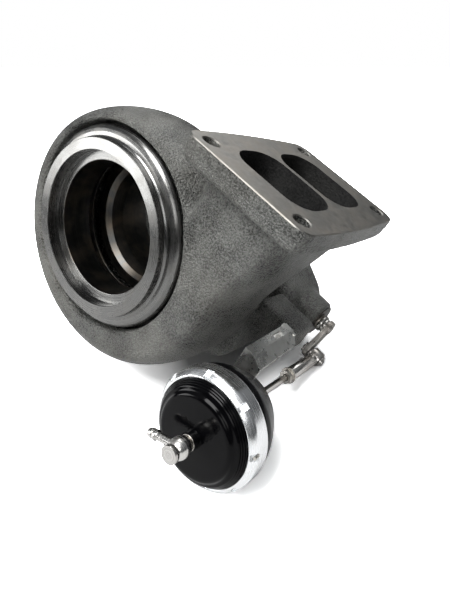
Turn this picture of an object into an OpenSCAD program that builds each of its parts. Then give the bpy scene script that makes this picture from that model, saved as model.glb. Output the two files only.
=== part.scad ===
// Divided turbine housing with an internal wastegate and its pressure actuator.
// Frame: the turbine axis runs along +Y from the bearing side face at Y = 0,
// +Z is the outward normal of the inlet flange, and +X points to the inlet side.

/* [Bearing side] */
// Radius of the wheel bore behind the pilot
bore_r = 52.6; // [48:0.1:55]
// Radius of the pilot counterbore
pilot_r = 60.2; // [58:0.1:63]
// Depth of the pilot counterbore
pilot_depth = 9.1; // [6:0.1:12]
// Outer radius of the machined front face
face_r = 69.2; // [67:0.1:70]
// Depth of the step between the front face and the clamp lip
lip_y = 6.6; // [5:0.1:9]
// Outer radius of the clamp lip
lip_r = 79.9; // [77:0.1:82]
// Width of the clamp lip along the axis
lip_w = 7; // [5:0.5:9]
// Root radius of the clamp groove behind the lip
groove_r = 73; // [71:0.5:75]
// Width of the clamp groove along the axis
groove_w = 11; // [8:0.5:14]
// Outer radius of the hollow around the clamp groove
relief_r = 82.6; // [82:0.1:84]

/* [Turbine passage] */
// Front edge of the gas slot, along the axis
slot_y = 32.8; // [30:0.1:36]
// Width of the gas slot along the axis
slot_w = 16.6; // [14:0.1:18]
// Radius of the wheel outlet
exducer_r = 45.4; // [42:0.1:48]
// Thickness of the wall that divides the two scrolls
divider_w = 4.2; // [3:0.1:6]

/* [Scroll] */
// Outer radius of the scroll where the neck meets it
scroll_r = 122; // [116:1:128]
// Loss of scroll radius in one full turn
scroll_drop = 38; // [30:1:44]
// Front face of the cast scroll
scroll_front = 7.6; // [6:0.1:9]
// Width of the scroll along the axis
scroll_w = 78; // [72:1:84]
// Radial depth of the rounded outer corners
scroll_round = 15; // [10:1:20]
// Thickness of the cast wall
cast_wall = 6; // [5:0.5:8]
// Angle where the scroll ends, from the neck
scroll_end = 332; // [320:1:338]

/* [Inlet flange] */
// Distance between bolt holes along the turbine axis
bolt_y = 117.5; // [110:0.1:120]
// Distance between bolt holes across the turbine axis
bolt_x = 82.55; // [78:0.05:86]
// Bolt thread hole diameter
bolt_d = 12; // [10:0.5:14]
// Distance from the turbine axis to the flange centre
flange_x = 97.3; // [94:0.1:100]
// Distance from the front face to the flange centre
flange_y = 66; // [62:0.5:70]
// Height of the flange face above the turbine axis
flange_z = 115.7; // [110:0.1:122]
// Flange thickness
flange_t = 18; // [14:0.5:20]
// Flange length along the turbine axis
flange_len = 143; // [138:1:150]
// Flange width at its ends
flange_wid = 108; // [104:1:112]
// Height of the bow of the two short sides
flange_bow = 3.4; // [1:0.1:5]
// Corner radius of the flange
flange_corner = 11; // [8:1:14]
// Port length across the turbine axis
port_len = 69; // [60:1:72]
// Port width along the turbine axis
port_w = 46; // [40:0.5:47]
// Corner radius of the ports
port_corner = 18; // [12:1:22]
// Wall between the ports at the flange face
port_gap = 4.6; // [3:0.1:8]

/* [Outlet] */
// Axial place of the outlet face
outlet_y = 186; // [182:1:190]
// Radius of the outlet bore
outlet_bore_r = 57; // [54:0.5:59]
// Outer radius of the outlet clamp lip
outlet_lip_r = 70; // [68:0.5:73]
// Width of the outlet clamp lip
outlet_lip_w = 6; // [5:0.5:8]
// Length of the spigot bore in the outlet
spigot_len = 7.5; // [6:0.1:7.6]

/* [Wastegate] */
// Axial place of the lever shaft
shaft_y = 158; // [157:0.5:159]
// Height of the lever shaft
shaft_z = -14; // [-15:0.5:-13]
// Diameter of the lever shaft
shaft_d = 9.5; // [9:0.1:10]
// Wall of the shaft bush
bush_wall = 2.6; // [2:0.1:3]
// Outer end of the bush boss
boss_x = 147; // [146:0.5:148]
// Radius of the bush boss
boss_r = 19; // [17:0.5:20]
// Sideways place of the valve
valve_x = 97; // [96:0.5:98]
// Height of the valve centre
valve_z = -36; // [-37:0.5:-35]
// Axial place of the valve seat
seat_y = 146.5; // [146:0.5:148]
// Bore of the wastegate port
gate_d = 30; // [26:0.5:31]
// Diameter of the valve head
valve_d = 37; // [36:0.5:38]
// Thickness of the valve head
valve_t = 4.5; // [4:0.1:5]
// Diameter of the valve stem
stem_d = 8; // [7:0.1:9]
// Radius of the cast chamber around the valve
chamber_r = 38; // [37:0.5:40]

/* [Lever] */
// Drop from the lever shaft to the clevis pin
lever_drop = 22; // [21:0.5:23]
// Setback from the lever shaft to the clevis pin
lever_back = 16; // [14:0.5:17]
// Thickness of the lever plate
lever_t = 5; // [4:0.5:6]
// Width of the lever plate at the shaft
lever_w = 17; // [15:0.5:18]
// Diameter of the clevis pin
pin_d = 6; // [5.5:0.1:6.5]

/* [Actuator] */
// Sideways place of the actuator axis
act_x = 168.5; // [168:0.5:170]
// Axial place of the diaphragm seam
seam_y = -5; // [-6:0.5:-4]
// Radial height of the clamp collar over the cap and the can
collar_h = 5.2; // [4.7:0.1:7]
// Width of the clamp collar
collar_w = 12; // [11:0.5:13]
// Radius of the top cap
cap_r = 37.6; // [37:0.1:38]
// Length of the top cap in front of the seam
cap_len = 17; // [16:0.5:18]
// Radius of the lower can
can_r = 38; // [37.5:0.1:38.5]
// Length of the lower can behind the seam
can_len = 33; // [32:0.5:35]
// Wall of the can and the cap
can_wall = 2.5; // [2:0.1:3]
// Diameter of the actuator rod
rod_d = 6; // [5.5:0.1:6.5]
// Diameter of the adjuster sleeve
sleeve_d = 12; // [11:0.5:13]
// Length of the adjuster sleeve
sleeve_len = 36; // [33:1:38]
// Diameter of the round head on the banjo bolt
banjo_head_d = 12.4; // [11:0.1:14]
// Diameter of the banjo body
banjo_d = 15; // [14:0.5:16]
// Length of the hose barb from the banjo axis
barb_len = 27; // [25:0.5:30]

/* [Piston and springs] */
// Radius of the piston
piston_r = 27; // [26:0.5:28]
// Mean radius of the outer spring
outer_spring_r = 21; // [20:0.5:22]
// Wire diameter of the outer spring
outer_wire = 3.2; // [2.8:0.1:3.4]
// Mean radius of the inner spring
inner_spring_r = 14; // [13:0.5:15]
// Wire diameter of the inner spring
inner_wire = 2.4; // [2:0.1:2.6]

/* [Bracket] */
// Thickness of the bracket sheet
sheet_t = 3; // [2.5:0.5:4]
// Width of the bracket arm
arm_w = 18.5; // [17:0.5:20]
// Height of the top of the bracket arm
arm_z = 5; // [4:0.5:6]
// Rear end of the bracket arm
arm_end_y = 86; // [84:1:88]
// Radius of the bracket plate behind the can
plate_r = 24; // [23:0.5:26]

/* [Fits] */
// Radial running clearance of shafts and pins
run_gap = 0.08; // [0.05:0.01:0.1]
// Gap between parts that pass each other
pass_gap = 0.4; // [0.3:0.05:0.6]
// Gap between faces that rest on each other across a joint
seat_gap = 0.3; // [0.2:0.05:0.4]

/* [Hidden] */
$fn = 72;
eps = 0.13;

iron = [0.36, 0.36, 0.34];
steel = [0.72, 0.71, 0.68];
black = [0.07, 0.07, 0.08];
silver = [0.86, 0.87, 0.88];

// Scroll and neck
lip_back = lip_y + lip_w;
groove_back = lip_back + groove_w;
scroll_back = scroll_front + scroll_w;
scroll_mid = scroll_front + 0.5 * scroll_w;
slot_back = slot_y + slot_w;
slot_mid = slot_y + 0.5 * slot_w;
hub_r = 62;
flange_under = flange_z - flange_t;
neck_in = flange_x - 0.5 * port_len - cast_wall;
neck_out = flange_x + 0.5 * port_len + cast_wall;
neck_front = flange_y - port_w - 0.5 * port_gap - cast_wall;
neck_back = flange_y + port_w + 0.5 * port_gap + cast_wall;
outlet_room = 40;
turn_step = 10;
neck_steps = 5;

// Wastegate and lever
bush_r = 0.5 * shaft_d + run_gap + bush_wall;
pin_y = shaft_y - lever_back;
pin_z = shaft_z - lever_drop;
act_z = pin_z;
eye_neck = 12;
sleeve_y1 = pin_y - eye_neck;
sleeve_y0 = sleeve_y1 - sleeve_len;
thrust_r = 8.4;
lever_setoff = 8.6;
lever_x = boss_x + lever_setoff;
lever_toe_r = 7;
lever_outer_x = lever_x + lever_t;
pin_head_r = 5;
pin_head_t = 2.4;
pin_tail = 4;
pin_slack = 0.8;
clip_r = 5.6;
clip_t = 1.8;
eye_r = 7.5;
eye_neck_r = 4.6;
thread_len = 14;
crank_w = 16;
crank_t = 6;
head_front = seat_y + seat_gap;
head_back = head_front + valve_t;
crank_front = head_back + pass_gap;
crank_back = crank_front + crank_t;
stem_top = crank_back + 3;
hub_in_r = 6.6;
hub_in_len = 27;
bush_x0 = valve_x + hub_in_len;
retainer_r = 7;
bush_x1 = boss_x + 1.6;
thrust_x0 = bush_x1 + seat_gap;
thrust_t = 0.5 * (lever_x - thrust_x0) - 0.05;
chamber_back = outlet_y - 8;

// Actuator
shell_r = 0.5 * (cap_r + can_r);
collar_r = shell_r + collar_h;
collar_front = seam_y - 0.5 * collar_w;
collar_back = collar_front + collar_w;
cap_front = seam_y - cap_len;
can_back = seam_y + can_len;
plate_back = can_back + sheet_t;
piston_t = 3;
piston_y = seam_y + 1.2;
piston_skirt = 9;
piston_wall = 2.4;
piston_bore = 0.5 * rod_d + 0.25;
piston_nut_t = 4.5;
piston_nut_gap = 0.8;
spring_seat = 0.2;
spring_y0 = piston_y + piston_t + spring_seat;
spring_y1 = can_back - can_wall - spring_seat;
outer_turns = 4;
inner_turns = 5;
sheet_gap = 0.1;
rubber_t = 0.6;
roll_depth = 5;
rim_r = collar_r - 2.6;
rim_t = 3;
rim_front = seam_y - 0.5 * rubber_t - rim_t;
rim_back = seam_y + 0.5 * rubber_t + rim_t;
rod_front = piston_y - 8;
rod_back = sleeve_y0 + 12;
rod_collar_r = 6;
rod_collar_t = 2;
guide_r = 9;
guide_len = 1.5;
guide_bore = 0.5 * rod_d + 1.1;
seal_len = 3;
can_tail_r = 31;
can_shoulder_r = rim_r + 0.6;
notch_count = 8;
notch_w = 5;
notch_r = cap_r + 1.8;
notch_len = 7.2;
notch_turn = 17;
notch_floor = collar_front + 2.2;
collar_pin_r = 1.2;
collar_pin_at = 0.5 * (notch_r + collar_r) + 0.8;
collar_pin_turn = 62;
groove_t = 0.6;
groove_step = 1.2;
cap_neck_r = 6.6;
neck_len = 4.6;
eye_w = 10;
eye_x0 = act_x - 0.5 * eye_w;
eye_x1 = eye_x0 + eye_w;

nut_t = 6;
nut_across = 11;
nut_flange_r = 7.2;
nut_flange_t = 1.4;
stud_r = 16.5;
stud_d = 6;
stud_tail = 9;
stud_nut_t = 5;
stud_nut_across = 10;

// Banjo fitting
banjo_stem_d = 8;
washer_h = 0.8;
washer_r = 5.8;
banjo_r = 0.5 * banjo_d;
banjo_half = banjo_r - 1.5;
banjo_back = cap_front - neck_len - washer_h;
banjo_y = banjo_back - banjo_half;
banjo_front = banjo_y - banjo_half;
banjo_head_t = 2.8;
barb_dip = 28;
barb_r = 2.6;
barb_bore_r = 1.6;
barb_rib_r = 3.7;
barb_rib_w = 3.4;
barb_tip = 4.4;

// Bracket
arm_x0 = act_x - 23;
arm_x1 = arm_x0 + arm_w;
arm_bend_x = arm_x0 + 8;
arm_slope = 5;
arm_section = [
  [arm_x0, arm_z], [arm_bend_x, arm_z], [arm_x1, arm_z - arm_slope],
  [arm_x1, arm_z - arm_slope - sheet_t], [arm_bend_x, arm_z - sheet_t], [arm_x0, arm_z - sheet_t]
];
arm_hole_y = 25;
arm_hole_len = 11;
arm_hole_w = 5;
arm_toe = 3;
arm_cut = 8;
tab_drop = 24;
tab_x1 = arm_bend_x + 1.5;
tab_w = 14;
tab_x0 = tab_x1 - tab_w;
lug_x0 = 112;
lug_x1 = arm_bend_x + 2.5;
lug_len = 33;
lug_drop = 27;
lug_z0 = arm_z - lug_drop;
bolt_x_tab = 0.5 * (tab_x0 + tab_x1);
bracket_bolt_z = [arm_z - 10.5, arm_z - 20.5];
bolt_r = 2.5;
bolt_len = 14;
bolt_head_t = 3.6;
bolt_head_across = 8;
bolt_washer_r = 4.6;
bolt_washer_t = 1.2;
bolt_head_y = arm_end_y - sheet_t - bolt_washer_t;

// Round helpers
module along_y(y0 = 0) { translate([0, y0, 0]) rotate([-90, 0, 0]) children(); }
module along_x(x0 = 0) { translate([x0, 0, 0]) rotate([0, 90, 0]) children(); }
module rod_y(x, z, y0, y1, r) { translate([x, 0, z]) along_y(y0) cylinder(h = y1 - y0, r = r); }
module rod_x(y, z, x0, x1, r) { translate([0, y, z]) along_x(x0) cylinder(h = x1 - x0, r = r); }
module tube_y(x, z, y0, y1, r, bore) {
  translate([x, 0, z]) along_y(y0) difference() {
    cylinder(h = y1 - y0, r = r);
    translate([0, 0, -1]) cylinder(h = y1 - y0 + 2, r = bore);
  }
}
module tube_x(y, z, x0, x1, r, bore) {
  translate([0, y, z]) along_x(x0) difference() {
    cylinder(h = x1 - x0, r = r);
    translate([0, 0, -1]) cylinder(h = x1 - x0 + 2, r = bore);
  }
}
// A profile of [radius, axial place] points turned about the turbine axis
module turned(points) {
  along_y() rotate_extrude($fn = 144) polygon(points);
}
module hex_y(x, z, y0, y1, across, bore) {
  translate([x, 0, z]) along_y(y0) difference() {
    cylinder(h = y1 - y0, r = across / sqrt(3), $fn = 6);
    translate([0, 0, -1]) cylinder(h = y1 - y0 + 2, r = bore, $fn = 48);
  }
}

// Sweeps: a station is a closed ring of points, and the rings are skinned in order
function flat(rings) = [for (ring = rings) for (p = ring) p];
module skin(rings) {
  n = len(rings[0]);
  m = len(rings);
  side = [for (i = [0:m - 2]) for (j = [0:n - 1])
    let (a = i * n + j, b = i * n + (j + 1) % n) each [[a, b, b + n], [a, b + n, a + n]]];
  polyhedron(
    points = flat(rings),
    faces = concat([[for (j = [n - 1:-1:0]) j]], side, [[for (j = [0:n - 1]) (m - 1) * n + j]])
  );
}
// A box section with elliptical corners, as [radius or X, Y] pairs, anticlockwise
function corner(cx, cy, ax, ay, a0, steps) =
  [for (k = [0:steps]) let (a = a0 + 90 * k / steps) [cx + ax * cos(a), cy + ay * sin(a)]];
function box_section(x0, x1, y0, y1, rx0, rx1, ry, outer_steps, inner_steps) = concat(
  corner(x1 - rx1, y1 - ry, rx1, ry, 0, outer_steps),
  corner(x0 + rx0, y1 - ry, rx0, ry, 90, inner_steps),
  corner(x0 + rx0, y0 + ry, rx0, ry, 180, inner_steps),
  corner(x1 - rx1, y0 + ry, rx1, ry, 270, outer_steps)
);
function at_turn(section, t) = [for (p = section) [p[0] * cos(t), p[1], -p[0] * sin(t)]];
function at_height(section, z) = [for (p = section) [p[0], p[1], z]];
function ease(s) = s * s * (3 - 2 * s);
function mix(a, b, s) = a + (b - a) * s;
function outer_r(t) = scroll_r - scroll_drop * t / 360;

// The cast outside: neck stations from the flange down, then turns of the scroll
function outer_turn(t) = box_section(
  hub_r - 4, outer_r(t), scroll_front, scroll_back, 3, scroll_round, 0.5 * scroll_w - 0.2, 5, 1);
function outer_neck(s) = box_section(
  mix(hub_r - 4, neck_in, ease(s)), mix(scroll_r, neck_out, ease(s)),
  mix(scroll_front, neck_front, ease(s)), mix(scroll_back, neck_back, ease(s)),
  mix(3, 14, s), mix(scroll_round, 22, s), mix(0.5 * scroll_w - 0.2, 24, ease(s)), 5, 1);
neck_top = flange_under + 4;
sweep_end = 290;
outer_rings = concat(
  [for (k = [neck_steps:-1:1]) at_height(outer_neck(k / neck_steps), neck_top * k / neck_steps)],
  [for (t = [0:turn_step:sweep_end]) at_turn(outer_turn(t), t)]
);
// The last stretch of the scroll, where its radius is nearly constant, is a turned sector
module tail_sector() {
  start = sweep_end - 2;
  along_y() rotate([0, 0, start]) rotate_extrude(angle = scroll_end - start, $fn = 120)
    polygon(box_section(
      hub_r - 4, outer_r(sweep_end) + 0.1, scroll_front + 0.1, scroll_back - 0.1, 3, scroll_round,
      0.5 * scroll_w - 0.3, 5, 1));
}

// The gas passages: side 0 is the front scroll and side 1 the rear one
passage_end = scroll_end - 4;
function duct_r(t) = mix(scroll_r - cast_wall, hub_r + 4, pow(t / passage_end, 0.9));
function duct_y0(side) = side == 0 ? scroll_front + 8 : slot_mid + 0.5 * divider_w;
function duct_y1(side) = side == 0 ? slot_mid - 0.5 * divider_w : scroll_back - 9;
function duct_turn(side, t) = box_section(
  hub_r - 1.5, duct_r(t), duct_y0(side), duct_y1(side), 2,
  min(14, 0.45 * (duct_r(t) - hub_r + 1.5)), 11, 2, 2);
function port_y0(side) = side == 0 ? flange_y - port_w - 0.5 * port_gap : flange_y + 0.5 * port_gap;
function duct_neck(side, s) = box_section(
  mix(hub_r - 1.5, flange_x - 0.5 * port_len, ease(s)),
  mix(scroll_r - cast_wall, flange_x + 0.5 * port_len, ease(s)),
  mix(duct_y0(side), port_y0(side), ease(s)),
  mix(duct_y1(side), port_y0(side) + port_w, ease(s)),
  mix(2, port_corner, s), mix(14, port_corner, s), mix(11, port_corner, s), 2, 2);
duct_top = flange_z + 1;
function duct_rings(side) = concat(
  [at_height(duct_neck(side, 1), duct_top)],
  [for (k = [neck_steps:-1:1]) at_height(duct_neck(side, k / neck_steps), flange_under * k / neck_steps)],
  [for (t = [0:turn_step:passage_end]) at_turn(duct_turn(side, t), t)]
);

// Outline of the inlet flange: straight long sides and bowed short sides
bow_r = (pow(0.5 * flange_len, 2) + pow(flange_bow, 2)) / (2 * flange_bow);
module flange_outline() {
  half_w = 0.5 * flange_wid;
  intersection() {
    translate([half_w + flange_bow - bow_r, 0]) circle(r = bow_r, $fn = 180);
    translate([bow_r - half_w - flange_bow, 0]) circle(r = bow_r, $fn = 180);
    union() {
      square([flange_wid + 20, flange_len - 2 * flange_corner], center = true);
      square([flange_wid - 2 * flange_corner, flange_len], center = true);
      for (sx = [-1, 1], sy = [-1, 1])
        translate([sx * (half_w - flange_corner), sy * (0.5 * flange_len - flange_corner)])
          circle(r = flange_corner);
    }
  }
}

// Two circles joined by their tangent lines, as one flat outline
function arc(x, y, r, a0, a1, steps) =
  [for (k = [0:steps]) let (a = mix(a0, a1, k / steps)) [x + r * cos(a), y + r * sin(a)]];
module egg(x1, y1, r1, x2, y2, r2) {
  way = atan2(y2 - y1, x2 - x1);
  lean = acos((r1 - r2) / norm([x2 - x1, y2 - y1]));
  polygon(concat(
    arc(x1, y1, r1, way + lean, way - lean + 360, 40),
    arc(x2, y2, r2, way - lean, way + lean, 24)
  ));
}
// Extrusion along +Y of an outline drawn in X and Z
module slab_y(y0, y1) {
  translate([0, y0, 0]) rotate([-90, 0, 0]) linear_extrude(height = y1 - y0) mirror([0, 1]) children();
}

// Turned outside of the casting
hub_points = [
  [0, 0], [face_r, 0], [face_r, lip_y - 2], [face_r + 1.8, lip_y], [lip_r - 6, lip_y],
  [lip_r - 2.8, lip_y + 0.9], [lip_r - 0.8, lip_y + 2.8], [lip_r, lip_y + 5],
  [lip_r, lip_back - 1.2], [lip_r - 1, lip_back],
  [groove_r, lip_back + 2.4], [groove_r, groove_back + 2], [hub_r + cast_wall, groove_back + 4],
  [hub_r + cast_wall, scroll_back - 4], [hub_r + 2, scroll_back + 8], [hub_r + 1, outlet_y - 26],
  [outlet_bore_r + cast_wall, outlet_y - 14], [outlet_bore_r + cast_wall, outlet_y - outlet_lip_w - 3],
  [outlet_lip_r, outlet_y - outlet_lip_w], [outlet_lip_r, outlet_y - 1], [outlet_lip_r - 1, outlet_y],
  [0, outlet_y]
];
// Turned inside of the casting, from the bearing side to the outlet
bore_points = [
  [0, -1], [pilot_r, -1], [pilot_r, pilot_depth],
  [bore_r, pilot_depth], [bore_r, slot_y], [hub_r + 1, slot_y],
  [hub_r + 1, slot_mid - 0.5 * divider_w], [bore_r + 5, slot_mid - 0.8],
  [bore_r + 5, slot_mid + 0.8], [hub_r + 1, slot_mid + 0.5 * divider_w],
  [hub_r + 1, slot_back], [bore_r - 0.3, slot_back], [bore_r - 4.2, slot_back + 4],
  [exducer_r, slot_back + 13], [exducer_r, scroll_back + 4],
  [outlet_bore_r - 1, outlet_y - outlet_room],
  [outlet_bore_r - 1, outlet_y - spigot_len], [outlet_bore_r, outlet_y - spigot_len],
  [outlet_bore_r, outlet_y + 1], [0, outlet_y + 1]
];
relief_points = [
  [face_r + 2, scroll_front - 3], [relief_r + 1.5, scroll_front - 3], [relief_r, scroll_front + 4],
  [relief_r - 1, groove_back - 3], [relief_r - 6, groove_back + 1.5], [face_r + 2, groove_back + 1.5]
];

module chamber_outline(grow = 0) {
  egg(0, 0, outlet_bore_r + 3 + grow, valve_x, valve_z + 8, chamber_r + grow);
}
module turbine_housing() color(iron) difference() {
  union() {
    difference() {
      union() {
        skin(outer_rings);
        tail_sector();
        turned([
          [0, scroll_front + 1], [hub_r + 12, scroll_front + 1],
          [hub_r + 12, scroll_back - 6], [0, scroll_back - 6]
        ]);
      }
      turned(relief_points);
    }
    turned(hub_points);
    translate([flange_x, flange_y, flange_under]) linear_extrude(height = flange_t) flange_outline();
    rod_y(valve_x, valve_z + 2, scroll_back - 22, outlet_y - 60, chamber_r - 11);
    slab_y(outlet_y - 66, chamber_back + 6) chamber_outline();
    rod_x(shaft_y, shaft_z, valve_x, boss_x, boss_r);
    arm_lug();
  }
  skin(duct_rings(0));
  skin(duct_rings(1));
  turned(bore_points);
  rod_y(valve_x, valve_z, scroll_mid + 12, outlet_y - 30, 0.5 * gate_d);
  slab_y(seat_y, chamber_back) chamber_outline(-cast_wall);
  rod_x(shaft_y, shaft_z, valve_x + 14, boss_x + 1, bush_r);
  for (sx = [-1, 1], sy = [-1, 1])
    translate([flange_x + 0.5 * sx * bolt_x, flange_y + 0.5 * sy * bolt_y, flange_under - 1])
      cylinder(h = flange_t + 2, r = 0.5 * bolt_d);
  for (z = bracket_bolt_z) rod_y(bolt_x_tab, z, arm_end_y - 1, arm_end_y + bolt_len, bolt_r);
}

// Cast lug that carries the bracket arm on its front face
module arm_lug() {
  translate([lug_x0, arm_end_y, lug_z0]) cube([lug_x1 - lug_x0, lug_len, arm_z - lug_z0]);
}

module wastegate_bush() color(steel)
  tube_x(shaft_y, shaft_z, bush_x0, bush_x1, bush_r, 0.5 * shaft_d + run_gap);

// Lever shaft with its crank arm inside the outlet, one forging
module wastegate_shaft() color(steel) difference() {
  union() {
    rod_x(shaft_y, shaft_z, valve_x - 0.5 * crank_w, lever_outer_x + 1.2, 0.5 * shaft_d);
    rod_x(shaft_y, shaft_z, valve_x - 0.5 * crank_w, bush_x0 - seat_gap, hub_in_r);
    translate([valve_x - 0.5 * crank_w, crank_front, valve_z]) cube([crank_w, crank_t, shaft_z - valve_z]);
    rod_y(valve_x, valve_z, crank_front, crank_back, 0.5 * crank_w + 1);
  }
  rod_y(valve_x, valve_z, crank_front - 1, crank_back + 1, 0.5 * stem_d + run_gap);
}

// Two washers that take the side load between the boss and the lever
module thrust_washers() color(steel) {
  tube_x(shaft_y, shaft_z, thrust_x0, thrust_x0 + thrust_t, thrust_r, 0.5 * shaft_d);
  tube_x(shaft_y, shaft_z, lever_x - thrust_t, lever_x, thrust_r - 1.4, 0.5 * shaft_d);
}

module wastegate_valve() color(steel) {
  rod_y(valve_x, valve_z, head_front, head_back, 0.5 * valve_d);
  rod_y(valve_x, valve_z, head_back - eps, stem_top, 0.5 * stem_d);
}

module valve_retainer() color(steel)
  tube_y(valve_x, valve_z, crank_back + pass_gap, stem_top, retainer_r, 0.5 * stem_d);

// Extrusion along +X of an outline drawn in Y and Z
module slab_x(x0, x1) {
  translate([x0, 0, 0]) rotate([90, 0, 90]) linear_extrude(height = x1 - x0) children();
}

module lever() color(steel) difference() {
  slab_x(lever_x, lever_outer_x) egg(shaft_y, shaft_z, 0.5 * lever_w, pin_y, pin_z, lever_toe_r);
  rod_x(shaft_y, shaft_z, lever_x - 1, lever_outer_x + 1, 0.5 * shaft_d);
  rod_x(pin_y, pin_z, lever_x - 1, lever_outer_x + 1, 0.5 * pin_d);
}

module lever_pin() color(steel) {
  rod_x(pin_y, pin_z, lever_x - pin_head_t, lever_x, pin_head_r);
  rod_x(pin_y, pin_z, lever_x - eps, eye_x1 + pin_tail, 0.5 * pin_d);
  rod_x(pin_y, pin_z, lever_outer_x, eye_x0 - pass_gap, pin_head_r);
}

module pin_clip() color(steel)
  tube_x(pin_y, pin_z, eye_x1 + pass_gap, eye_x1 + pass_gap + clip_t, clip_r, 0.5 * pin_d);

module rod_end() color(steel) difference() {
  union() {
    rod_x(pin_y, pin_z, eye_x0, eye_x1, eye_r);
    rod_y(act_x, act_z, sleeve_y1 + seat_gap, pin_y - 4, eye_neck_r);
    rod_y(act_x, act_z, sleeve_y1 - thread_len, sleeve_y1 + 2, 0.5 * rod_d);
  }
  rod_x(pin_y, pin_z, eye_x0 - 1, eye_x1 + 1, 0.5 * pin_d + pin_slack);
}

module adjuster_sleeve() color(steel)
  tube_y(act_x, act_z, sleeve_y0, sleeve_y1, 0.5 * sleeve_d, 0.5 * rod_d + run_gap);

module lock_nut() color(steel) {
  nut_back = sleeve_y0 - seat_gap;
  hex_y(act_x, act_z, nut_back - nut_t, nut_back - nut_flange_t, nut_across, 0.5 * rod_d);
  tube_y(act_x, act_z, nut_back - nut_flange_t - 0.1, nut_back, nut_flange_r, 0.5 * rod_d);
}

module actuator_rod() color(steel) {
  rod_y(act_x, act_z, rod_front, rod_back, 0.5 * rod_d);
  collar_y = piston_y + piston_t + pass_gap;
  rod_y(act_x, act_z, collar_y, collar_y + rod_collar_t, rod_collar_r);
}

// Turned shell about the actuator axis, from [radius, axial place] points
module can_turned(points) {
  translate([act_x, 0, act_z]) along_y() rotate_extrude($fn = 120) polygon(points);
}
module rotate_about_act(a) {
  translate([act_x, 0, act_z]) rotate([0, a, 0]) translate([-act_x, 0, -act_z]) children();
}

module piston() color(silver) can_turned([
  [piston_bore, piston_y], [piston_r, piston_y], [piston_r, piston_y + piston_skirt],
  [piston_r - piston_wall, piston_y + piston_skirt], [piston_r - piston_wall, piston_y + piston_t],
  [piston_bore, piston_y + piston_t]
]);

module piston_nut() color(steel) {
  nut_back = piston_y - piston_nut_gap;
  hex_y(act_x, act_z, nut_back - piston_nut_t, nut_back, stud_nut_across, 0.5 * rod_d);
}

// Rolled rubber sheet, clamped at its rim and seated on the piston
module diaphragm() color(black) can_turned([
  [9, piston_y - rubber_t - sheet_gap], [piston_r + 0.9, piston_y - rubber_t - sheet_gap],
  [piston_r + 1.9, piston_y + roll_depth], [can_r - can_wall - 2.4, piston_y + roll_depth],
  [can_r - can_wall - 1.4, seam_y - 0.5 * rubber_t], [rim_r - 1, seam_y - 0.5 * rubber_t],
  [rim_r - 1, seam_y + 0.5 * rubber_t], [can_r - can_wall - 0.8, seam_y + 0.5 * rubber_t],
  [can_r - can_wall - 1.8, piston_y + roll_depth + rubber_t],
  [piston_r + 1.3, piston_y + roll_depth + rubber_t],
  [piston_r + 0.3, piston_y - sheet_gap], [9, piston_y - sheet_gap]
]);

// Compression spring: a round wire swept along a helix
module spring(mean_r, wire_d, turns, y0, y1) {
  steps = 16;
  sides = 6;
  rise = (y1 - y0 - wire_d) / (turns * steps);
  rings = [for (k = [0:turns * steps]) let (a = 360 * k / steps)
    [for (j = [0:sides - 1]) let (b = -360 * j / sides, r = mean_r + 0.5 * wire_d * cos(b))
      [act_x + r * cos(a), y0 + 0.5 * wire_d + rise * k + 0.5 * wire_d * sin(b), act_z + r * sin(a)]]];
  skin(rings);
}
module outer_spring() color(steel)
  spring(outer_spring_r, outer_wire, outer_turns, spring_y0, spring_y1);
module inner_spring() color(steel)
  spring(inner_spring_r, inner_wire, inner_turns, spring_y0, spring_y1);

module lower_can() color(black) difference() {
  can_turned([
    [guide_r, can_back - can_wall], [can_tail_r - 5, can_back - can_wall],
    [can_tail_r - can_wall - 1, can_back - 5], [can_r - can_wall, can_back - 13],
    [can_r - can_wall, seam_y + 0.5 * rubber_t], [rim_r, seam_y + 0.5 * rubber_t],
    [rim_r, rim_back], [can_r + 0.6, rim_back], [can_r + 0.6, collar_back + 1],
    [can_shoulder_r, collar_back + 1.6], [can_shoulder_r, collar_back + 6],
    [can_r - 1, can_back - 12], [can_tail_r, can_back - 3], [can_tail_r - 2, can_back], [guide_r, can_back]
  ]);
  for (a = [0, 180]) rotate_about_act(a)
    rod_y(act_x + stud_r, act_z, can_back - can_wall - 1, can_back + 1, 0.5 * stud_d);
}

module rod_guide() color(steel)
  tube_y(act_x, act_z, can_back - can_wall - guide_len, plate_back + 1, guide_r, guide_bore);
module dust_seal() color(black) {
  seal_back = can_back - can_wall - guide_len;
  tube_y(act_x, act_z, seal_back - seal_len, seal_back, guide_r, guide_bore);
}

// Clamp ring that hooks over the cap and can rims, with cut notches in its front edge
module clamp_collar() color(silver) difference() {
  can_turned([
    [cap_r + 0.3, collar_front - 3.2], [cap_r + 1.6, collar_front - 3.6],
    [collar_r - 1.2, collar_front - 0.6],
    [collar_r, collar_front + 0.8], [collar_r, collar_back - 0.6], [collar_r - 0.6, collar_back],
    [can_r + 1, collar_back], [can_r + 1, rim_back + 0.05], [rim_r + 0.2, rim_back + 0.05],
    [rim_r + 0.2, rim_front - 0.05], [cap_r + 0.3, rim_front - 0.05]
  ]);
  for (k = [0:notch_count - 1]) rotate_about_act(360 / notch_count * k + notch_turn)
    translate([act_x - 0.5 * notch_w, notch_floor - notch_len, act_z + notch_r])
      cube([notch_w, notch_len, collar_r - notch_r + 1.4]);
}
// Pin that stands on the floor of one notch
module collar_pin() color(steel) rotate_about_act(collar_pin_turn)
  rod_y(act_x, act_z + collar_pin_at, collar_front - 1.6, notch_floor, collar_pin_r);

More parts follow.
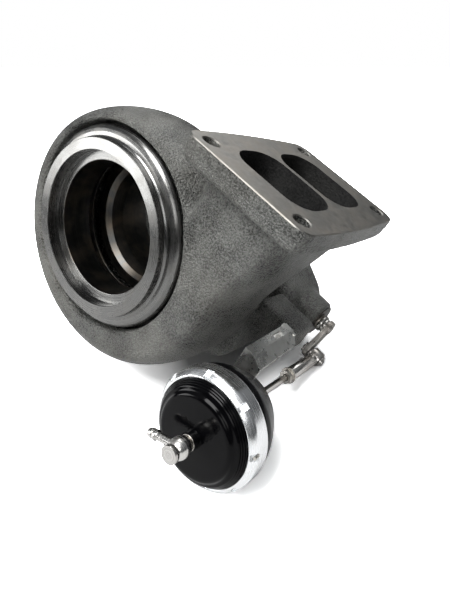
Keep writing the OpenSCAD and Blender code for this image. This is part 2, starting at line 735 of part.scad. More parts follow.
module top_cap() color(black) difference() {
  can_turned([
    [0, cap_front - neck_len], [cap_neck_r, cap_front - neck_len], [cap_neck_r, cap_front],
    [can_tail_r - 3, cap_front],
    [can_tail_r - 1.2, cap_front + 0.7], [can_tail_r + 0.2, cap_front + 2.6],
    [cap_r - 3.4, cap_front + 3.4], [cap_r, cap_front + 7.4],
    [cap_r, rim_front], [rim_r, rim_front],
    [rim_r, seam_y - 0.5 * rubber_t], [cap_r - can_wall, seam_y - 0.5 * rubber_t],
    [cap_r - can_wall, cap_front + 8.5], [can_tail_r - 3, cap_front + 5],
    [can_tail_r - 6, cap_front + can_wall],
    [0, cap_front + can_wall]
  ]);
  for (k = [0:2]) let (y = cap_front + 4 + groove_step * k, r = cap_r - 3.8 + 1.02 * k) can_turned([
    [r, y], [cap_r + 2, y], [cap_r + 2, y + groove_t], [r, y + groove_t]
  ]);
  rod_y(act_x, act_z, cap_front - neck_len - 1, cap_front + can_wall + 1, 0.5 * banjo_stem_d);
}

// Banjo fitting: a round headed bolt, a ball body with a barb, and sealing washers
module banjo_bolt() color(steel) {
  rod_y(act_x, act_z, banjo_front - washer_h, cap_front + can_wall, 0.5 * banjo_stem_d);
  rod_y(act_x, act_z, banjo_front - washer_h - banjo_head_t, banjo_front - washer_h, 0.5 * banjo_head_d);
}
module banjo_fitting() color(steel) difference() {
  union() {
    translate([act_x, banjo_y, act_z]) along_y() rotate_extrude() intersection() {
      circle(r = banjo_r, $fn = 96);
      translate([0, banjo_front - banjo_y]) square([banjo_r + 1, banjo_back - banjo_front]);
    }
    translate([act_x, banjo_y, act_z]) rotate([0, -90 - barb_dip, 0]) union() {
      cylinder(h = barb_len - barb_rib_w - barb_tip + 0.8, r = barb_r);
      translate([0, 0, barb_len - barb_rib_w - 4]) cylinder(h = barb_rib_w, r = barb_rib_r);
      translate([0, 0, barb_len - barb_tip]) cylinder(h = barb_tip, r1 = barb_r + 0.6, r2 = barb_r + 0.1);
    }
  }
  rod_y(act_x, act_z, banjo_front - 2, banjo_back + 2, 0.5 * banjo_stem_d + run_gap);
  translate([act_x, banjo_y, act_z]) rotate([0, -90 - barb_dip, 0])
    cylinder(h = barb_len + 2, r = barb_bore_r);
}
module banjo_washers() color(steel) {
  tube_y(act_x, act_z, banjo_front - washer_h, banjo_front - 0.1, washer_r, 0.5 * banjo_stem_d);
  tube_y(act_x, act_z, banjo_back + 0.1, banjo_back + washer_h, washer_r, 0.5 * banjo_stem_d);
}

// Folded strip that leans inwards towards the rear, with its rear corner cut off
function arm_ring(y, toe) = [for (p = arm_section) [p[0] - toe, y, p[1]]];
module arm() difference() {
  skin([arm_ring(arm_end_y, arm_toe), arm_ring(can_back, 0)]);
  translate([0, 0, arm_z - 20]) linear_extrude(height = 30) polygon([
    [arm_bend_x, arm_end_y + 1], [arm_bend_x, arm_end_y - 0.6],
    [arm_x1, arm_end_y - arm_cut], [arm_x1, arm_end_y + 1]
  ]);
}
// Bent sheet: a plate behind the can, an arm back to the casting and a tab turned down at its end
module bracket() color(steel) difference() {
  union() {
    slab_y(can_back, plate_back) union() {
      translate([act_x, act_z]) circle(r = plate_r, $fn = 96);
      polygon([
        [arm_x0, act_z], [arm_x1, act_z], [arm_x1, arm_z - arm_slope], [arm_bend_x, arm_z], [arm_x0, arm_z]
      ]);
    }
    arm();
    translate([tab_x0, arm_end_y - sheet_t, arm_z - tab_drop]) cube([tab_x1 - tab_x0, sheet_t, tab_drop - 1]);
  }
  rod_y(act_x, act_z, can_back - 1, plate_back + 1, guide_r);
  for (a = [0, 180]) rotate_about_act(a)
    rod_y(act_x + stud_r, act_z, can_back - 1, plate_back + 1, 0.5 * stud_d);
  translate([arm_x0 + 0.4, arm_end_y - arm_hole_y, arm_z - sheet_t - 1])
    cube([arm_hole_w, arm_hole_len, sheet_t + 2]);
  for (z = bracket_bolt_z) rod_y(bolt_x_tab, z, arm_end_y - sheet_t - 1, arm_end_y + 1, bolt_r);
}

module bracket_washers() color(steel)
  for (z = bracket_bolt_z)
    tube_y(bolt_x_tab, z, bolt_head_y, arm_end_y - sheet_t, bolt_washer_r, bolt_r);
module bracket_bolts() color(steel)
  for (z = bracket_bolt_z) {
    rod_y(bolt_x_tab, z, bolt_head_y - 1, arm_end_y + bolt_len, bolt_r);
    translate([bolt_x_tab, 0, z]) along_y(bolt_head_y - bolt_head_t)
      cylinder(h = bolt_head_t, r = bolt_head_across / sqrt(3), $fn = 6);
  }
module can_studs() color(steel)
  for (a = [0, 180]) rotate_about_act(a)
    rod_y(act_x + stud_r, act_z, can_back - can_wall, plate_back + stud_tail, 0.5 * stud_d);
module stud_nuts() color(steel)
  for (a = [0, 180]) rotate_about_act(a)
    hex_y(act_x + stud_r, act_z, plate_back, plate_back + stud_nut_t, stud_nut_across, 0.5 * stud_d);

turbine_housing();
wastegate_bush();
wastegate_shaft();
wastegate_valve();
valve_retainer();
thrust_washers();
lever();
lever_pin();
pin_clip();
rod_end();
adjuster_sleeve();
lock_nut();
actuator_rod();
piston();
piston_nut();
diaphragm();
outer_spring();
inner_spring();
lower_can();
rod_guide();
dust_seal();
clamp_collar();
collar_pin();
top_cap();
banjo_bolt();
banjo_fitting();
banjo_washers();
bracket();
bracket_bolts();
bracket_washers();
can_studs();
stud_nuts();
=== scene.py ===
import logging
import math
from dataclasses import dataclass
from enum import Enum, IntEnum

import bmesh
import bpy
import numpy as np
from mathutils import Matrix


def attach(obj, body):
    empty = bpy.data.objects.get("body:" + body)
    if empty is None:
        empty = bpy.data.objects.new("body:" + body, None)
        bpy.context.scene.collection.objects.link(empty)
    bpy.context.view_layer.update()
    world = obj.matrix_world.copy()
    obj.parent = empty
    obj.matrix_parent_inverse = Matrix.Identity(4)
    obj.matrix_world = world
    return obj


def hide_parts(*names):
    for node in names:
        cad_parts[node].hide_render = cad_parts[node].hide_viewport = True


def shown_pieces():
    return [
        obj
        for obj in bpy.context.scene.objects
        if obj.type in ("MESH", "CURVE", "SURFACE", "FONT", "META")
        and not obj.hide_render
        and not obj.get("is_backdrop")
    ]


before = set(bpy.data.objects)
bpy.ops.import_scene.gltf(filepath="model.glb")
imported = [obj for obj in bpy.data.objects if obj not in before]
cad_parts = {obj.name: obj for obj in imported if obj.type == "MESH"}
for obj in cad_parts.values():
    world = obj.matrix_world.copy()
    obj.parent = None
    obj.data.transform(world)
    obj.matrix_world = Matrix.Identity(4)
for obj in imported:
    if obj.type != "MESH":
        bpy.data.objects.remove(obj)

logging.basicConfig(level=logging.INFO, format="%(message)s")
LOG = logging.getLogger("housing")
Object, Material, World = bpy.types.Object, bpy.types.Material, bpy.types.World
Node, Socket = bpy.types.Node, bpy.types.NodeSocket
Points = np.ndarray
Triple = tuple[float, float, float]

# A millimetre, and the distance at which points merge, in metres
MM = 0.001
MERGE = 2e-6
# Least length that is divided by
TINY = 1e-9
# Edges of blanks and of finished pieces that are bent more than this many degrees stay sharp
BLANK_EDGE = 32.0
EDGE = 34.0
# Edges of kept nodes that are bent more than this many degrees are broken
BEND = 40.0


class Body(Enum):
    """The CAD bodies that new pieces ride on."""

    ROOT = "root"
    BANJO = "banjo"


class Slot(Enum):
    """The material slots."""

    IRON = "cast_iron"
    DARK_STEEL = "dark_steel"
    STAINLESS = "stainless"
    PLATED = "plated_steel"
    ALUMINIUM = "polished_aluminium"
    BLACK = "black_anodised"
    RUBBER = "black_rubber"


class Skin(IntEnum):
    """The casting's kinds of face, numbered as its finishes are."""

    CAST = 0
    RING = 1
    INLET = 2
    BORE = 3
    PASSAGE = 4


class Operation(Enum):
    """What a Boolean does with its tool."""

    ADD = "UNION"
    CUT = "DIFFERENCE"


# Node trees


class Tree:
    """A material's node tree with short ways to add and join nodes."""

    def __init__(self, owner: Material | World) -> None:
        """Empties the owner's tree and adds its output.

        Args:
            owner: The material or world.
        """
        self.owner = owner
        owner.use_nodes = True
        self.nodes, self.links = owner.node_tree.nodes, owner.node_tree.links
        self.nodes.clear()
        kind = "World" if isinstance(owner, World) else "Material"
        self.output = self.nodes.new(f"ShaderNodeOutput{kind}")
        self.place = self.add("ShaderNodeTexCoord").outputs["Object"]

    def add(self, kind: str, **inputs: object) -> Node:
        """Adds a node.

        Args:
            kind: Blender's name of the node type.
            inputs: Values or sockets by input name, with _ for a space.

        Returns:
            The new node.
        """
        node = self.nodes.new(kind)
        for key, value in inputs.items():
            self.feed(node.inputs[key.replace("_", " ")], value)
        return node

    def feed(self, socket: Socket, value: object) -> None:
        """Gives a socket a constant or links it.

        Args:
            socket: The input to set.
            value: A number, a colour or another socket.
        """
        if isinstance(value, Socket):
            self.links.new(value, socket)
        elif isinstance(value, tuple) and len(value) == 3 and socket.type == "RGBA":
            socket.default_value = (*value, 1.0)
        else:
            socket.default_value = value

    def math(self, operation: str, a: object, b: object = 0.0) -> Socket:
        """One arithmetic step.

        Args:
            operation: Blender's name of the operation.
            a: First value or socket.
            b: Second value or socket.

        Returns:
            The result's socket.
        """
        node = self.nodes.new("ShaderNodeMath")
        node.operation = operation
        self.feed(node.inputs[0], a)
        self.feed(node.inputs[1], b)
        return node.outputs[0]

    def vector(self, operation: str, a: Socket, b: Triple | None = None) -> Socket:
        """One step of vector arithmetic.

        Args:
            operation: Blender's name of the operation.
            a: First vector's socket.
            b: Second vector, where the operation takes one.

        Returns:
            The result's socket, a number for a length, a distance or a dot product.
        """
        node = self.nodes.new("ShaderNodeVectorMath")
        node.operation = operation
        self.links.new(a, node.inputs[0])
        if b is not None:
            node.inputs[1].default_value = b
        return node.outputs["Value" if operation in ("LENGTH", "DISTANCE", "DOT_PRODUCT") else "Vector"]

    def noise(self, scale: float, detail: float, roughness: float,
              at: Socket | None = None) -> Socket:
        """Smooth noise between 0 and 1.

        Args:
            scale: Waves per metre.
            detail: Octaves.
            roughness: Weight of the finer octaves.
            at: Where the noise is read, the object's own place if not given.

        Returns:
            The noise value's socket.
        """
        node = self.add("ShaderNodeTexNoise", Scale=scale, Detail=detail, Roughness=roughness,
                        Vector=at or self.place)
        return node.outputs["Fac"]

    def span(self, value: object, low: float, high: float, out_low: float,
             out_high: float) -> Socket:
        """A clamped change of range.

        Args:
            value: The socket to read.
            low: Value that becomes out_low.
            high: Value that becomes out_high.
            out_low: Result at low.
            out_high: Result at high.

        Returns:
            The result's socket.
        """
        node = self.nodes.new("ShaderNodeMapRange")
        for socket, given in zip(node.inputs, (value, low, high, out_low, out_high)):
            self.feed(socket, given)
        return node.outputs[0]

    def blend(self, share: object, a: object, b: object) -> Socket:
        """A mix of two colours.

        Args:
            share: How much of b, 0 to 1.
            a: First colour.
            b: Second colour.

        Returns:
            The mixed colour's socket.
        """
        node = self.nodes.new("ShaderNodeMix")
        node.data_type = "RGBA"
        # The node has an A, a B and a result for each type of value, so the colours go by number
        self.feed(node.inputs[0], share)
        self.feed(node.inputs[6], a)
        self.feed(node.inputs[7], b)
        return node.outputs[2]

    def pick(self, share: Socket, a: Node, b: Node) -> Node:
        """A mix of two shaders.

        Args:
            share: How much of b, 0 to 1.
            a: First shader.
            b: Second shader.

        Returns:
            The mixed shader.
        """
        node = self.nodes.new("ShaderNodeMixShader")
        for socket, given in zip(node.inputs, (share, a.outputs[0], b.outputs[0])):
            self.links.new(given, socket)
        return node

    def bump(self, height: Socket, depth_mm: float, strength: float) -> Socket:
        """A bumped normal.

        Args:
            height: Height between 0 and 1.
            depth_mm: Height of 1, in millimetres.
            strength: How much of the bump shows.

        Returns:
            The normal's socket.
        """
        node = self.add("ShaderNodeBump", Strength=strength, Distance=depth_mm * MM, Height=height)
        return node.outputs["Normal"]

    def end(self, shader: Node) -> Material | World:
        """Ends the tree in a shader and returns its owner."""
        self.links.new(shader.outputs[0], self.output.inputs["Surface"])
        return self.owner

    def surface(self, **inputs: object) -> Material:
        """Ends the tree in a Principled shader.

        Args:
            inputs: Values or sockets by input name, with _ for a space.

        Returns:
            The finished material.
        """
        return self.end(self.add("ShaderNodeBsdfPrincipled", **inputs))


@dataclass(frozen=True)
class CastFinish:
    """Sand cast iron: mottled colour, a fine grain and soft broad waves.

    Args:
        name: Name of the material.
        dark: Colour of the low spots.
        pale: Colour of the high spots.
        roughness: Middle roughness.
        grain_mm: Depth of the grain.
    """

    name: str
    dark: Triple
    pale: Triple
    roughness: float
    grain_mm: float

    def build(self) -> Material:
        """Builds the finish.

        Returns:
            The material.
        """
        tree = Tree(bpy.data.materials.new(self.name))
        grain = tree.noise(820.0, 3.0, 0.7)
        broad = tree.noise(38.0, 4.0, 0.55)
        stain = tree.noise(11.0, 3.0, 0.5)
        speck = tree.add("ShaderNodeTexVoronoi", Scale=640.0, Vector=tree.place)
        share = tree.math("ADD", tree.span(broad, 0.35, 0.65, 0.0, 0.45),
                          tree.span(grain, 0.42, 0.58, 0.0, 0.6))
        colour = tree.blend(share, self.dark, self.pale)
        warm = tree.blend(tree.span(stain, 0.45, 0.7, 0.0, 0.35), colour,
                          (self.pale[0] * 0.8, self.pale[1] * 0.75, self.pale[2] * 0.68))
        rough = tree.math("ADD", tree.span(broad, 0.3, 0.7, -0.06, 0.06),
                          tree.span(grain, 0.35, 0.65, self.roughness - 0.1, self.roughness + 0.12))
        height = tree.math("ADD", tree.math("MULTIPLY", grain, 0.6),
                           tree.math("MULTIPLY", speck.outputs["Distance"], 0.4))
        return tree.surface(Base_Color=warm, Metallic=0.7, Roughness=rough,
                            Normal=tree.bump(height, self.grain_mm, 1.0))


@dataclass(frozen=True)
class TurnedFinish:
    """Turned metal: fine rings about an axis, seen in colour, roughness and a faint bump.

    Args:
        name: Name of the material.
        colour: Colour of the metal.
        centre: A point on the axis, in metres.
        axis: 0, 1 or 2 for X, Y or Z.
        roughness: Middle roughness.
        rings: Rings per metre of radius.
        contrast: How far the rings differ in colour.
        tint: Colour of heat or age marks.
        tint_share: How much of the marks shows.
        spread: How far highlights stretch across the rings.
    """

    name: str
    colour: Triple
    centre: Triple = (0.0, 0.0, 0.0)
    axis: int = 1
    roughness: float = 0.28
    rings: float = 2600.0
    contrast: float = 0.3
    tint: Triple = (0.3, 0.22, 0.14)
    tint_share: float = 0.2
    spread: float = 0.0

    def build(self) -> Material:
        """Builds the finish.

        Returns:
            The material.
        """
        tree = Tree(bpy.data.materials.new(self.name))
        moved = tree.vector("SUBTRACT", tree.place, self.centre)
        along = tuple(float(k == self.axis) for k in range(3))
        flat = tree.vector("MULTIPLY", moved, tuple(1.0 - k for k in along))
        scale = 0.01 * self.rings
        place = tree.add("ShaderNodeSeparateXYZ", Vector=moved).outputs[self.axis]
        spot = tree.add("ShaderNodeCombineXYZ", X=tree.math("MULTIPLY", tree.vector("LENGTH", flat), scale),
                        Y=tree.math("MULTIPLY", place, scale))
        ring = tree.noise(50.0, 3.0, 0.6, spot.outputs[0])
        cloud = tree.noise(60.0, 4.0, 0.6)
        dark = tuple(c * (1.0 - self.contrast) for c in self.colour)
        metal = tree.blend(tree.span(ring, 0.35, 0.65, 0.0, 1.0), dark, self.colour)
        colour = tree.blend(tree.span(cloud, 0.42, 0.68, 0.0, self.tint_share), metal, self.tint)
        rough = tree.math("ADD", tree.span(ring, 0.3, 0.7, self.roughness - 0.06, self.roughness + 0.06),
                          tree.span(cloud, 0.35, 0.65, -0.02, 0.07))
        across = tree.vector("ADD", tree.vector("NORMALIZE", flat), along)
        return tree.surface(Base_Color=colour, Metallic=1.0, Roughness=rough, Anisotropic=self.spread,
                            Tangent=across, Normal=tree.bump(ring, 0.02 * self.contrast, 0.5))


@dataclass(frozen=True)
class BrushedFinish:
    """Ground or rolled metal: streaks along one axis with soft stains.

    Args:
        name: Name of the material.
        colour: Colour of the metal.
        stretch: Streak frequency along X, Y and Z, in waves per metre.
        roughness: Middle roughness.
        contrast: How far the streaks differ in colour.
        tint: Colour of the stains.
        tint_share: How much of the stains shows.
        bump_mm: Depth of the streaks.
    """

    name: str
    colour: Triple
    stretch: Triple
    roughness: float
    contrast: float = 0.25
    tint: Triple = (0.34, 0.27, 0.2)
    tint_share: float = 0.25
    bump_mm: float = 0.02

    def build(self) -> Material:
        """Builds the finish.

        Returns:
            The material.
        """
        tree = Tree(bpy.data.materials.new(self.name))
        streak = tree.noise(1.0, 4.0, 0.6, tree.vector("MULTIPLY", tree.place, self.stretch))
        cloud = tree.noise(75.0, 5.0, 0.62)
        dark = tuple(c * (1.0 - self.contrast) for c in self.colour)
        metal = tree.blend(tree.span(streak, 0.36, 0.64, 0.0, 1.0), dark, self.colour)
        colour = tree.blend(tree.span(cloud, 0.4, 0.66, 0.0, self.tint_share), metal, self.tint)
        rough = tree.math("ADD", tree.span(streak, 0.3, 0.7, self.roughness - 0.05, self.roughness + 0.07),
                          tree.span(cloud, 0.35, 0.65, -0.03, 0.08))
        return tree.surface(Base_Color=colour, Metallic=1.0, Roughness=rough,
                            Normal=tree.bump(streak, self.bump_mm, 0.6))


@dataclass(frozen=True)
class GlossFinish:
    """A smooth dark skin, anodised or moulded, over fine orange peel.

    Args:
        name: Name of the material.
        colour: Colour of the body.
        roughness: Middle roughness.
        shine: Strength of the surface's own reflection, 0.5 for plain plastic.
    """

    name: str
    colour: Triple
    roughness: float
    shine: float = 0.5

    def build(self) -> Material:
        """Builds the finish.

        Returns:
            The material.
        """
        tree = Tree(bpy.data.materials.new(self.name))
        peel = tree.noise(900.0, 3.0, 0.5)
        dust = tree.noise(120.0, 5.0, 0.6)
        pale = tuple(c * 1.6 + 0.001 for c in self.colour)
        colour = tree.blend(tree.span(dust, 0.45, 0.7, 0.0, 0.5), self.colour, pale)
        rough = tree.span(dust, 0.3, 0.7, self.roughness - 0.04, self.roughness + 0.08)
        return tree.surface(Base_Color=colour, Roughness=rough, Specular_IOR_Level=self.shine,
                            Normal=tree.bump(peel, 0.01, 0.5))


Finish = CastFinish | TurnedFinish | BrushedFinish | GlossFinish


# Geometry from numpy arrays, in millimetres


@dataclass(frozen=True)
class Line:
    """An axis in space that profiles are turned about.

    Args:
        origin: A point on the axis.
        along: Unit direction of the axis.
        side: Unit direction of turn zero.
    """

    origin: Triple = (0.0, 0.0, 0.0)
    along: Triple = (0.0, 1.0, 0.0)
    side: Triple = (1.0, 0.0, 0.0)


def y_line(x: float, z: float) -> Line:
    """Returns the line along +Y through x and z."""
    return Line((x, 0.0, z))


def x_line(y: float, z: float) -> Line:
    """Returns the line along +X through y and z."""
    return Line((0.0, y, z), (1.0, 0.0, 0.0), (0.0, 1.0, 0.0))


def shown(name: str, data: bpy.types.ID) -> Object:
    """Puts data on show in the scene.

    Args:
        name: Name of the object.
        data: A mesh, a light or a camera.

    Returns:
        The new object.
    """
    obj = bpy.data.objects.new(name, data)
    bpy.context.scene.collection.objects.link(obj)
    return obj


def ease(s: Points) -> Points:
    """Returns 3 s squared less 2 s cubed, a soft step from 0 to 1."""
    return s * s * (3.0 - 2.0 * s)


def mix(a: object, b: object, s: object) -> object:
    """Returns the value a share s of the way from a to b."""
    return a + (b - a) * s


def rounded(points: list, radii: float | list[float], steps: int = 7) -> Points:
    """Rounds a profile's corners with a quadratic curve from one cut point, by the corner, to the other.

    Args:
        points: Corners of the open or closed profile, as [radius, place] pairs.
        radii: Cut length at each corner, or one for all.
        steps: Points per corner.

    Returns:
        The rounded profile.
    """
    p = np.asarray(points, float)
    steps_away = np.roll(p, 1, 0) - p, np.roll(p, -1, 0) - p
    lengths = [np.linalg.norm(step, axis=1) for step in steps_away]
    cut = np.minimum(np.broadcast_to(radii, len(p)), 0.48 * np.minimum(*lengths))[:, None]
    a, b = (p + step / np.maximum(far, TINY)[:, None] * cut for step, far in zip(steps_away, lengths))
    t = np.linspace(0.0, 1.0, steps)[None, :, None]
    curve = (1 - t) ** 2 * a[:, None] + 2 * t * (1 - t) * p[:, None] + t ** 2 * b[:, None]
    return curve.reshape(-1, 2)


def grid_faces(rows: int, columns: int, wrap_rows: bool, caps: bool) -> list[list[int]]:
    """Quads over a grid of rings, with flat caps on the first and last ring if asked for.

    Args:
        rows: Number of rings.
        columns: Points per ring.
        wrap_rows: Whether the last ring joins the first.
        caps: Whether the ends are closed.

    Returns:
        The faces.
    """
    index = np.arange(rows * columns).reshape(rows, columns)
    right = np.roll(index, -1, 1)
    below = np.roll(index, -1, 0) if wrap_rows else index[1:]
    low = index if wrap_rows else index[:-1]
    across = np.roll(below, -1, 1)
    start = right if wrap_rows else right[:-1]
    quads = np.stack([low, start, across, below], -1).reshape(-1, 4).tolist()
    return quads + ([index[0].tolist(), index[-1].tolist()] if caps else [])


def smooth(obj: Object, sharp: float = EDGE) -> None:
    """Shades an object smooth except at sharp edges.

    Args:
        obj: The object.
        sharp: Edges bent more than this many degrees stay sharp.
    """
    mesh = obj.data
    mesh.polygons.foreach_set("use_smooth", np.ones(len(mesh.polygons), bool))
    mesh.set_sharp_from_angle(angle=math.radians(sharp))


def make(name: str, verts: Points, faces: list[list[int]]) -> Object:
    """A closed mesh object with merged points, outward normals and smooth shading.

    Args:
        name: Name of the object.
        verts: Points in millimetres.
        faces: Faces as point numbers.

    Returns:
        The object, linked to the scene.
    """
    mesh = bpy.data.meshes.new(name)
    mesh.from_pydata((verts.reshape(-1, 3) * MM).tolist(), [], faces)
    work = bmesh.new()
    work.from_mesh(mesh)
    bmesh.ops.remove_doubles(work, verts=work.verts, dist=MERGE)
    bmesh.ops.dissolve_degenerate(work, edges=work.edges, dist=0.5 * MERGE)
    bmesh.ops.recalc_face_normals(work, faces=work.faces)
    work.to_mesh(mesh)
    work.free()
    obj = shown(name, mesh)
    smooth(obj, BLANK_EDGE)
    return obj


def revolve(name: str, profile: Points | list, line: Line, steps: int = 128, loop: bool = False) -> Object:
    """Turns a profile: each point is origin + along * place + radius * (side cos a + third sin a).

    Args:
        name: Name of the object.
        profile: [radius, place] pairs, from axis to axis or as a closed loop.
        line: The axis.
        steps: Stations of the turn.
        loop: Whether the profile is a closed loop.

    Returns:
        The object.
    """
    pairs = np.asarray(profile, float)[:, :, None, None]
    along, side = np.array(line.along), np.array(line.side)
    a = np.radians(np.linspace(0.0, 360.0, steps, endpoint=False))[:, None]
    spoke = np.cos(a) * side + np.sin(a) * np.cross(along, side)
    grid = np.array(line.origin) + pairs[:, 1] * along + pairs[:, 0] * spoke
    return make(name, grid, grid_faces(len(grid), steps, loop, False))


def loft(name: str, rings: Points) -> Object:
    """Closed rings skinned in order, with flat ends.

    Args:
        name: Name of the object.
        rings: Grid of points, one ring per row.

    Returns:
        The object.
    """
    return make(name, rings, grid_faces(rings.shape[0], rings.shape[1], False, True))


def inset(outline: Points, by: float) -> Points:
    """An outline moved inwards along its own normals.

    Args:
        outline: Closed outline, anticlockwise.
        by: Distance.

    Returns:
        The moved outline.
    """
    step = np.roll(outline, -1, 0) - np.roll(outline, 1, 0)
    normal = np.stack([-step[:, 1], step[:, 0]], -1)
    normal /= np.maximum(np.linalg.norm(normal, axis=1), TINY)[:, None]
    return outline + normal * by


def slab(name: str, outline: Points, levels: list[tuple[float, float]],
         axes: tuple[int, int, int]) -> Object:
    """A plate: an outline stacked at levels, each moved inwards by its own inset.

    Args:
        name: Name of the object.
        outline: Closed outline, anticlockwise.
        levels: (place, inset) pairs.
        axes: Which of X, Y and Z the outline's two values and the place go to.

    Returns:
        The object.
    """
    rings = np.zeros((len(levels), len(outline), 3))
    for row, (place, by) in enumerate(levels):
        rings[row][:, list(axes[:2])] = inset(outline, by)
        rings[row][:, axes[2]] = place
    return loft(name, rings)


def arc(x: float, y: float, r: float, start: float, end: float, steps: int = 32) -> Points:
    """Returns points on a circle about (x, y) from one angle to another, in degrees."""
    a = np.radians(np.linspace(start, end, steps))
    return np.stack([x + r * np.cos(a), y + r * np.sin(a)], -1)


def egg(x1: float, y1: float, r1: float, x2: float, y2: float, r2: float) -> Points:
    """Two circles joined by their outer tangents.

    Args:
        x1: First centre.
        y1: First centre.
        r1: First radius.
        x2: Second centre.
        y2: Second centre.
        r2: Second radius.

    Returns:
        The outline, anticlockwise.
    """
    way = math.degrees(math.atan2(y2 - y1, x2 - x1))
    lean = math.degrees(math.acos((r1 - r2) / math.hypot(x2 - x1, y2 - y1)))
    return np.concatenate([arc(x1, y1, r1, way + lean, way - lean + 360.0, 64),
                           arc(x2, y2, r2, way - lean, way + lean, 48)])


def bake(obj: Object) -> None:
    """Works an object's modifiers into its mesh.

    Args:
        obj: The object.
    """
    graph = bpy.context.evaluated_depsgraph_get()
    mesh = bpy.data.meshes.new_from_object(obj.evaluated_get(graph), depsgraph=graph)
    obj.modifiers.clear()
    old, obj.data = obj.data, mesh
    bpy.data.meshes.remove(old)


def combine(obj: Object, operation: Operation, *tools: Object) -> None:
    """Adds tools to an object or cuts them away one by one, and deletes them.

    Args:
        obj: The object that is changed.
        operation: What to do.
        tools: The other solids.
    """
    for tool in tools:
        step = obj.modifiers.new("solid", "BOOLEAN")
        step.operation = operation.value
        step.solver = "MANIFOLD"
        step.object = tool
        bake(obj)
        bpy.data.objects.remove(tool, do_unlink=True)


def join(name: str, parts: list[Object]) -> Object:
    """One object with the meshes of several, which are deleted.

    Args:
        name: Name of the object.
        parts: The objects.

    Returns:
        The joined object.
    """
    work = bmesh.new()
    for part in parts:
        work.from_mesh(part.data)
        bpy.data.objects.remove(part, do_unlink=True)
    mesh = bpy.data.meshes.new(name)
    work.to_mesh(mesh)
    work.free()
    return shown(name, mesh)


def remesh(obj: Object, voxel_mm: float) -> None:
    """Fuses overlapping solids on a voxel grid and softens the result.

    Args:
        obj: The object.
        voxel_mm: Size of a voxel.
    """
    grid = obj.modifiers.new("fuse", "REMESH")
    grid.mode = "VOXEL"
    grid.voxel_size = voxel_mm * MM
    soft = obj.modifiers.new("soft", "SMOOTH")
    soft.factor = 0.5
    soft.iterations = 5
    bake(obj)


def centres(mesh: bpy.types.Mesh) -> tuple[Points, Points]:
    """Reads where a mesh's faces lie.

    Args:
        mesh: The mesh.

    Returns:
        The faces' centres in millimetres and their normals.
    """
    count = len(mesh.polygons)
    middle, normal = np.empty(count * 3), np.empty(count * 3)
    mesh.polygons.foreach_get("center", middle)
    mesh.polygons.foreach_get("normal", normal)
    return middle.reshape(-1, 3) / MM, normal.reshape(-1, 3)


def dress(obj: Object, finishes: list[Finish], slot: Slot, body: Body,
          *nodes: str) -> Object:
    """Gives a new piece its materials, its body and the CAD nodes it stands for.

    Args:
        obj: The piece.
        finishes: Its finishes, in the order of its face numbers.
        slot: A material slot; not used.
        body: The body it rides on.
        nodes: CAD nodes that it replaces.

    Returns:
        The piece.
    """
    obj.data.materials.clear()
    for finish in finishes:
        obj.data.materials.append(finish.build())
    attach(obj, body.value)
    if nodes:
        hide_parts(*nodes)
    return obj


# The casting


@dataclass(frozen=True)
class ScrollSize:
    """Sizes of the scroll and the neck, in millimetres."""

    outer: float = 121.8
    drop: float = 38.0
    front: float = 7.6
    back: float = 85.6
    corner: float = 15.0
    inner_corner: float = 3.0
    neck_corners: Triple = (14.0, 22.0, 24.0)
    duct_corners: Triple = (2.0, 14.0, 11.0)
    wall: float = 6.0
    front_wall: float = 8.0
    back_wall: float = 9.0
    divider: float = 41.1
    divider_half: float = 2.1
    hub: float = 62.0
    hub_sink: float = 4.0
    duct_sink: float = 1.5
    end: float = 332.0
    shrink_end: float = 290.0
    neck_top: float = 101.7
    neck_in: float = 56.8
    neck_out: float = 137.8
    neck_front: float = 11.7
    neck_back: float = 120.3


@dataclass(frozen=True)
class FlangeSize:
    """Sizes of the inlet flange, in millimetres."""

    x: float = 97.3
    y: float = 66.0
    top: float = 115.7
    under: float = 97.7
    length: float = 143.0
    width: float = 108.0
    bow: float = 3.4
    corner: float = 11.0
    bolt_x: float = 82.55
    bolt_y: float = 117.5
    bolt_r: float = 6.0
    port_len: float = 69.0
    port_w: float = 46.0
    port_corner: float = 18.0
    port_gap: float = 4.6


@dataclass(frozen=True)
class GateSize:
    """Sizes of the outlet, the chamber and the shaft boss, in millimetres."""

    outlet: float = 186.0
    bore: float = 57.0
    lip_r: float = 70.0
    lip_w: float = 6.0
    shaft_y: float = 158.0
    shaft_z: float = -14.0
    pin_y: float = 142.0
    boss_x: float = 147.0
    boss_r: float = 19.0
    bush_x: float = 111.0
    bush_r: float = 7.44
    valve_x: float = 97.0
    valve_z: float = -36.0
    seat: float = 146.5
    throat_r: float = 15.0
    chamber_r: float = 38.0


@dataclass(frozen=True)
class LugSize:
    """Sizes of the bracket's lug and its two tapped holes, in millimetres."""

    left: float = 112.4
    right: float = 155.6
    low: float = -21.6
    high: float = 4.6
    front: float = 86.6
    back: float = 118.5
    hole_x: float = 148.0
    hole_z: tuple[float, float] = (-5.5, -15.5)
    hole_r: float = 2.52
    hole_end: float = 100.5


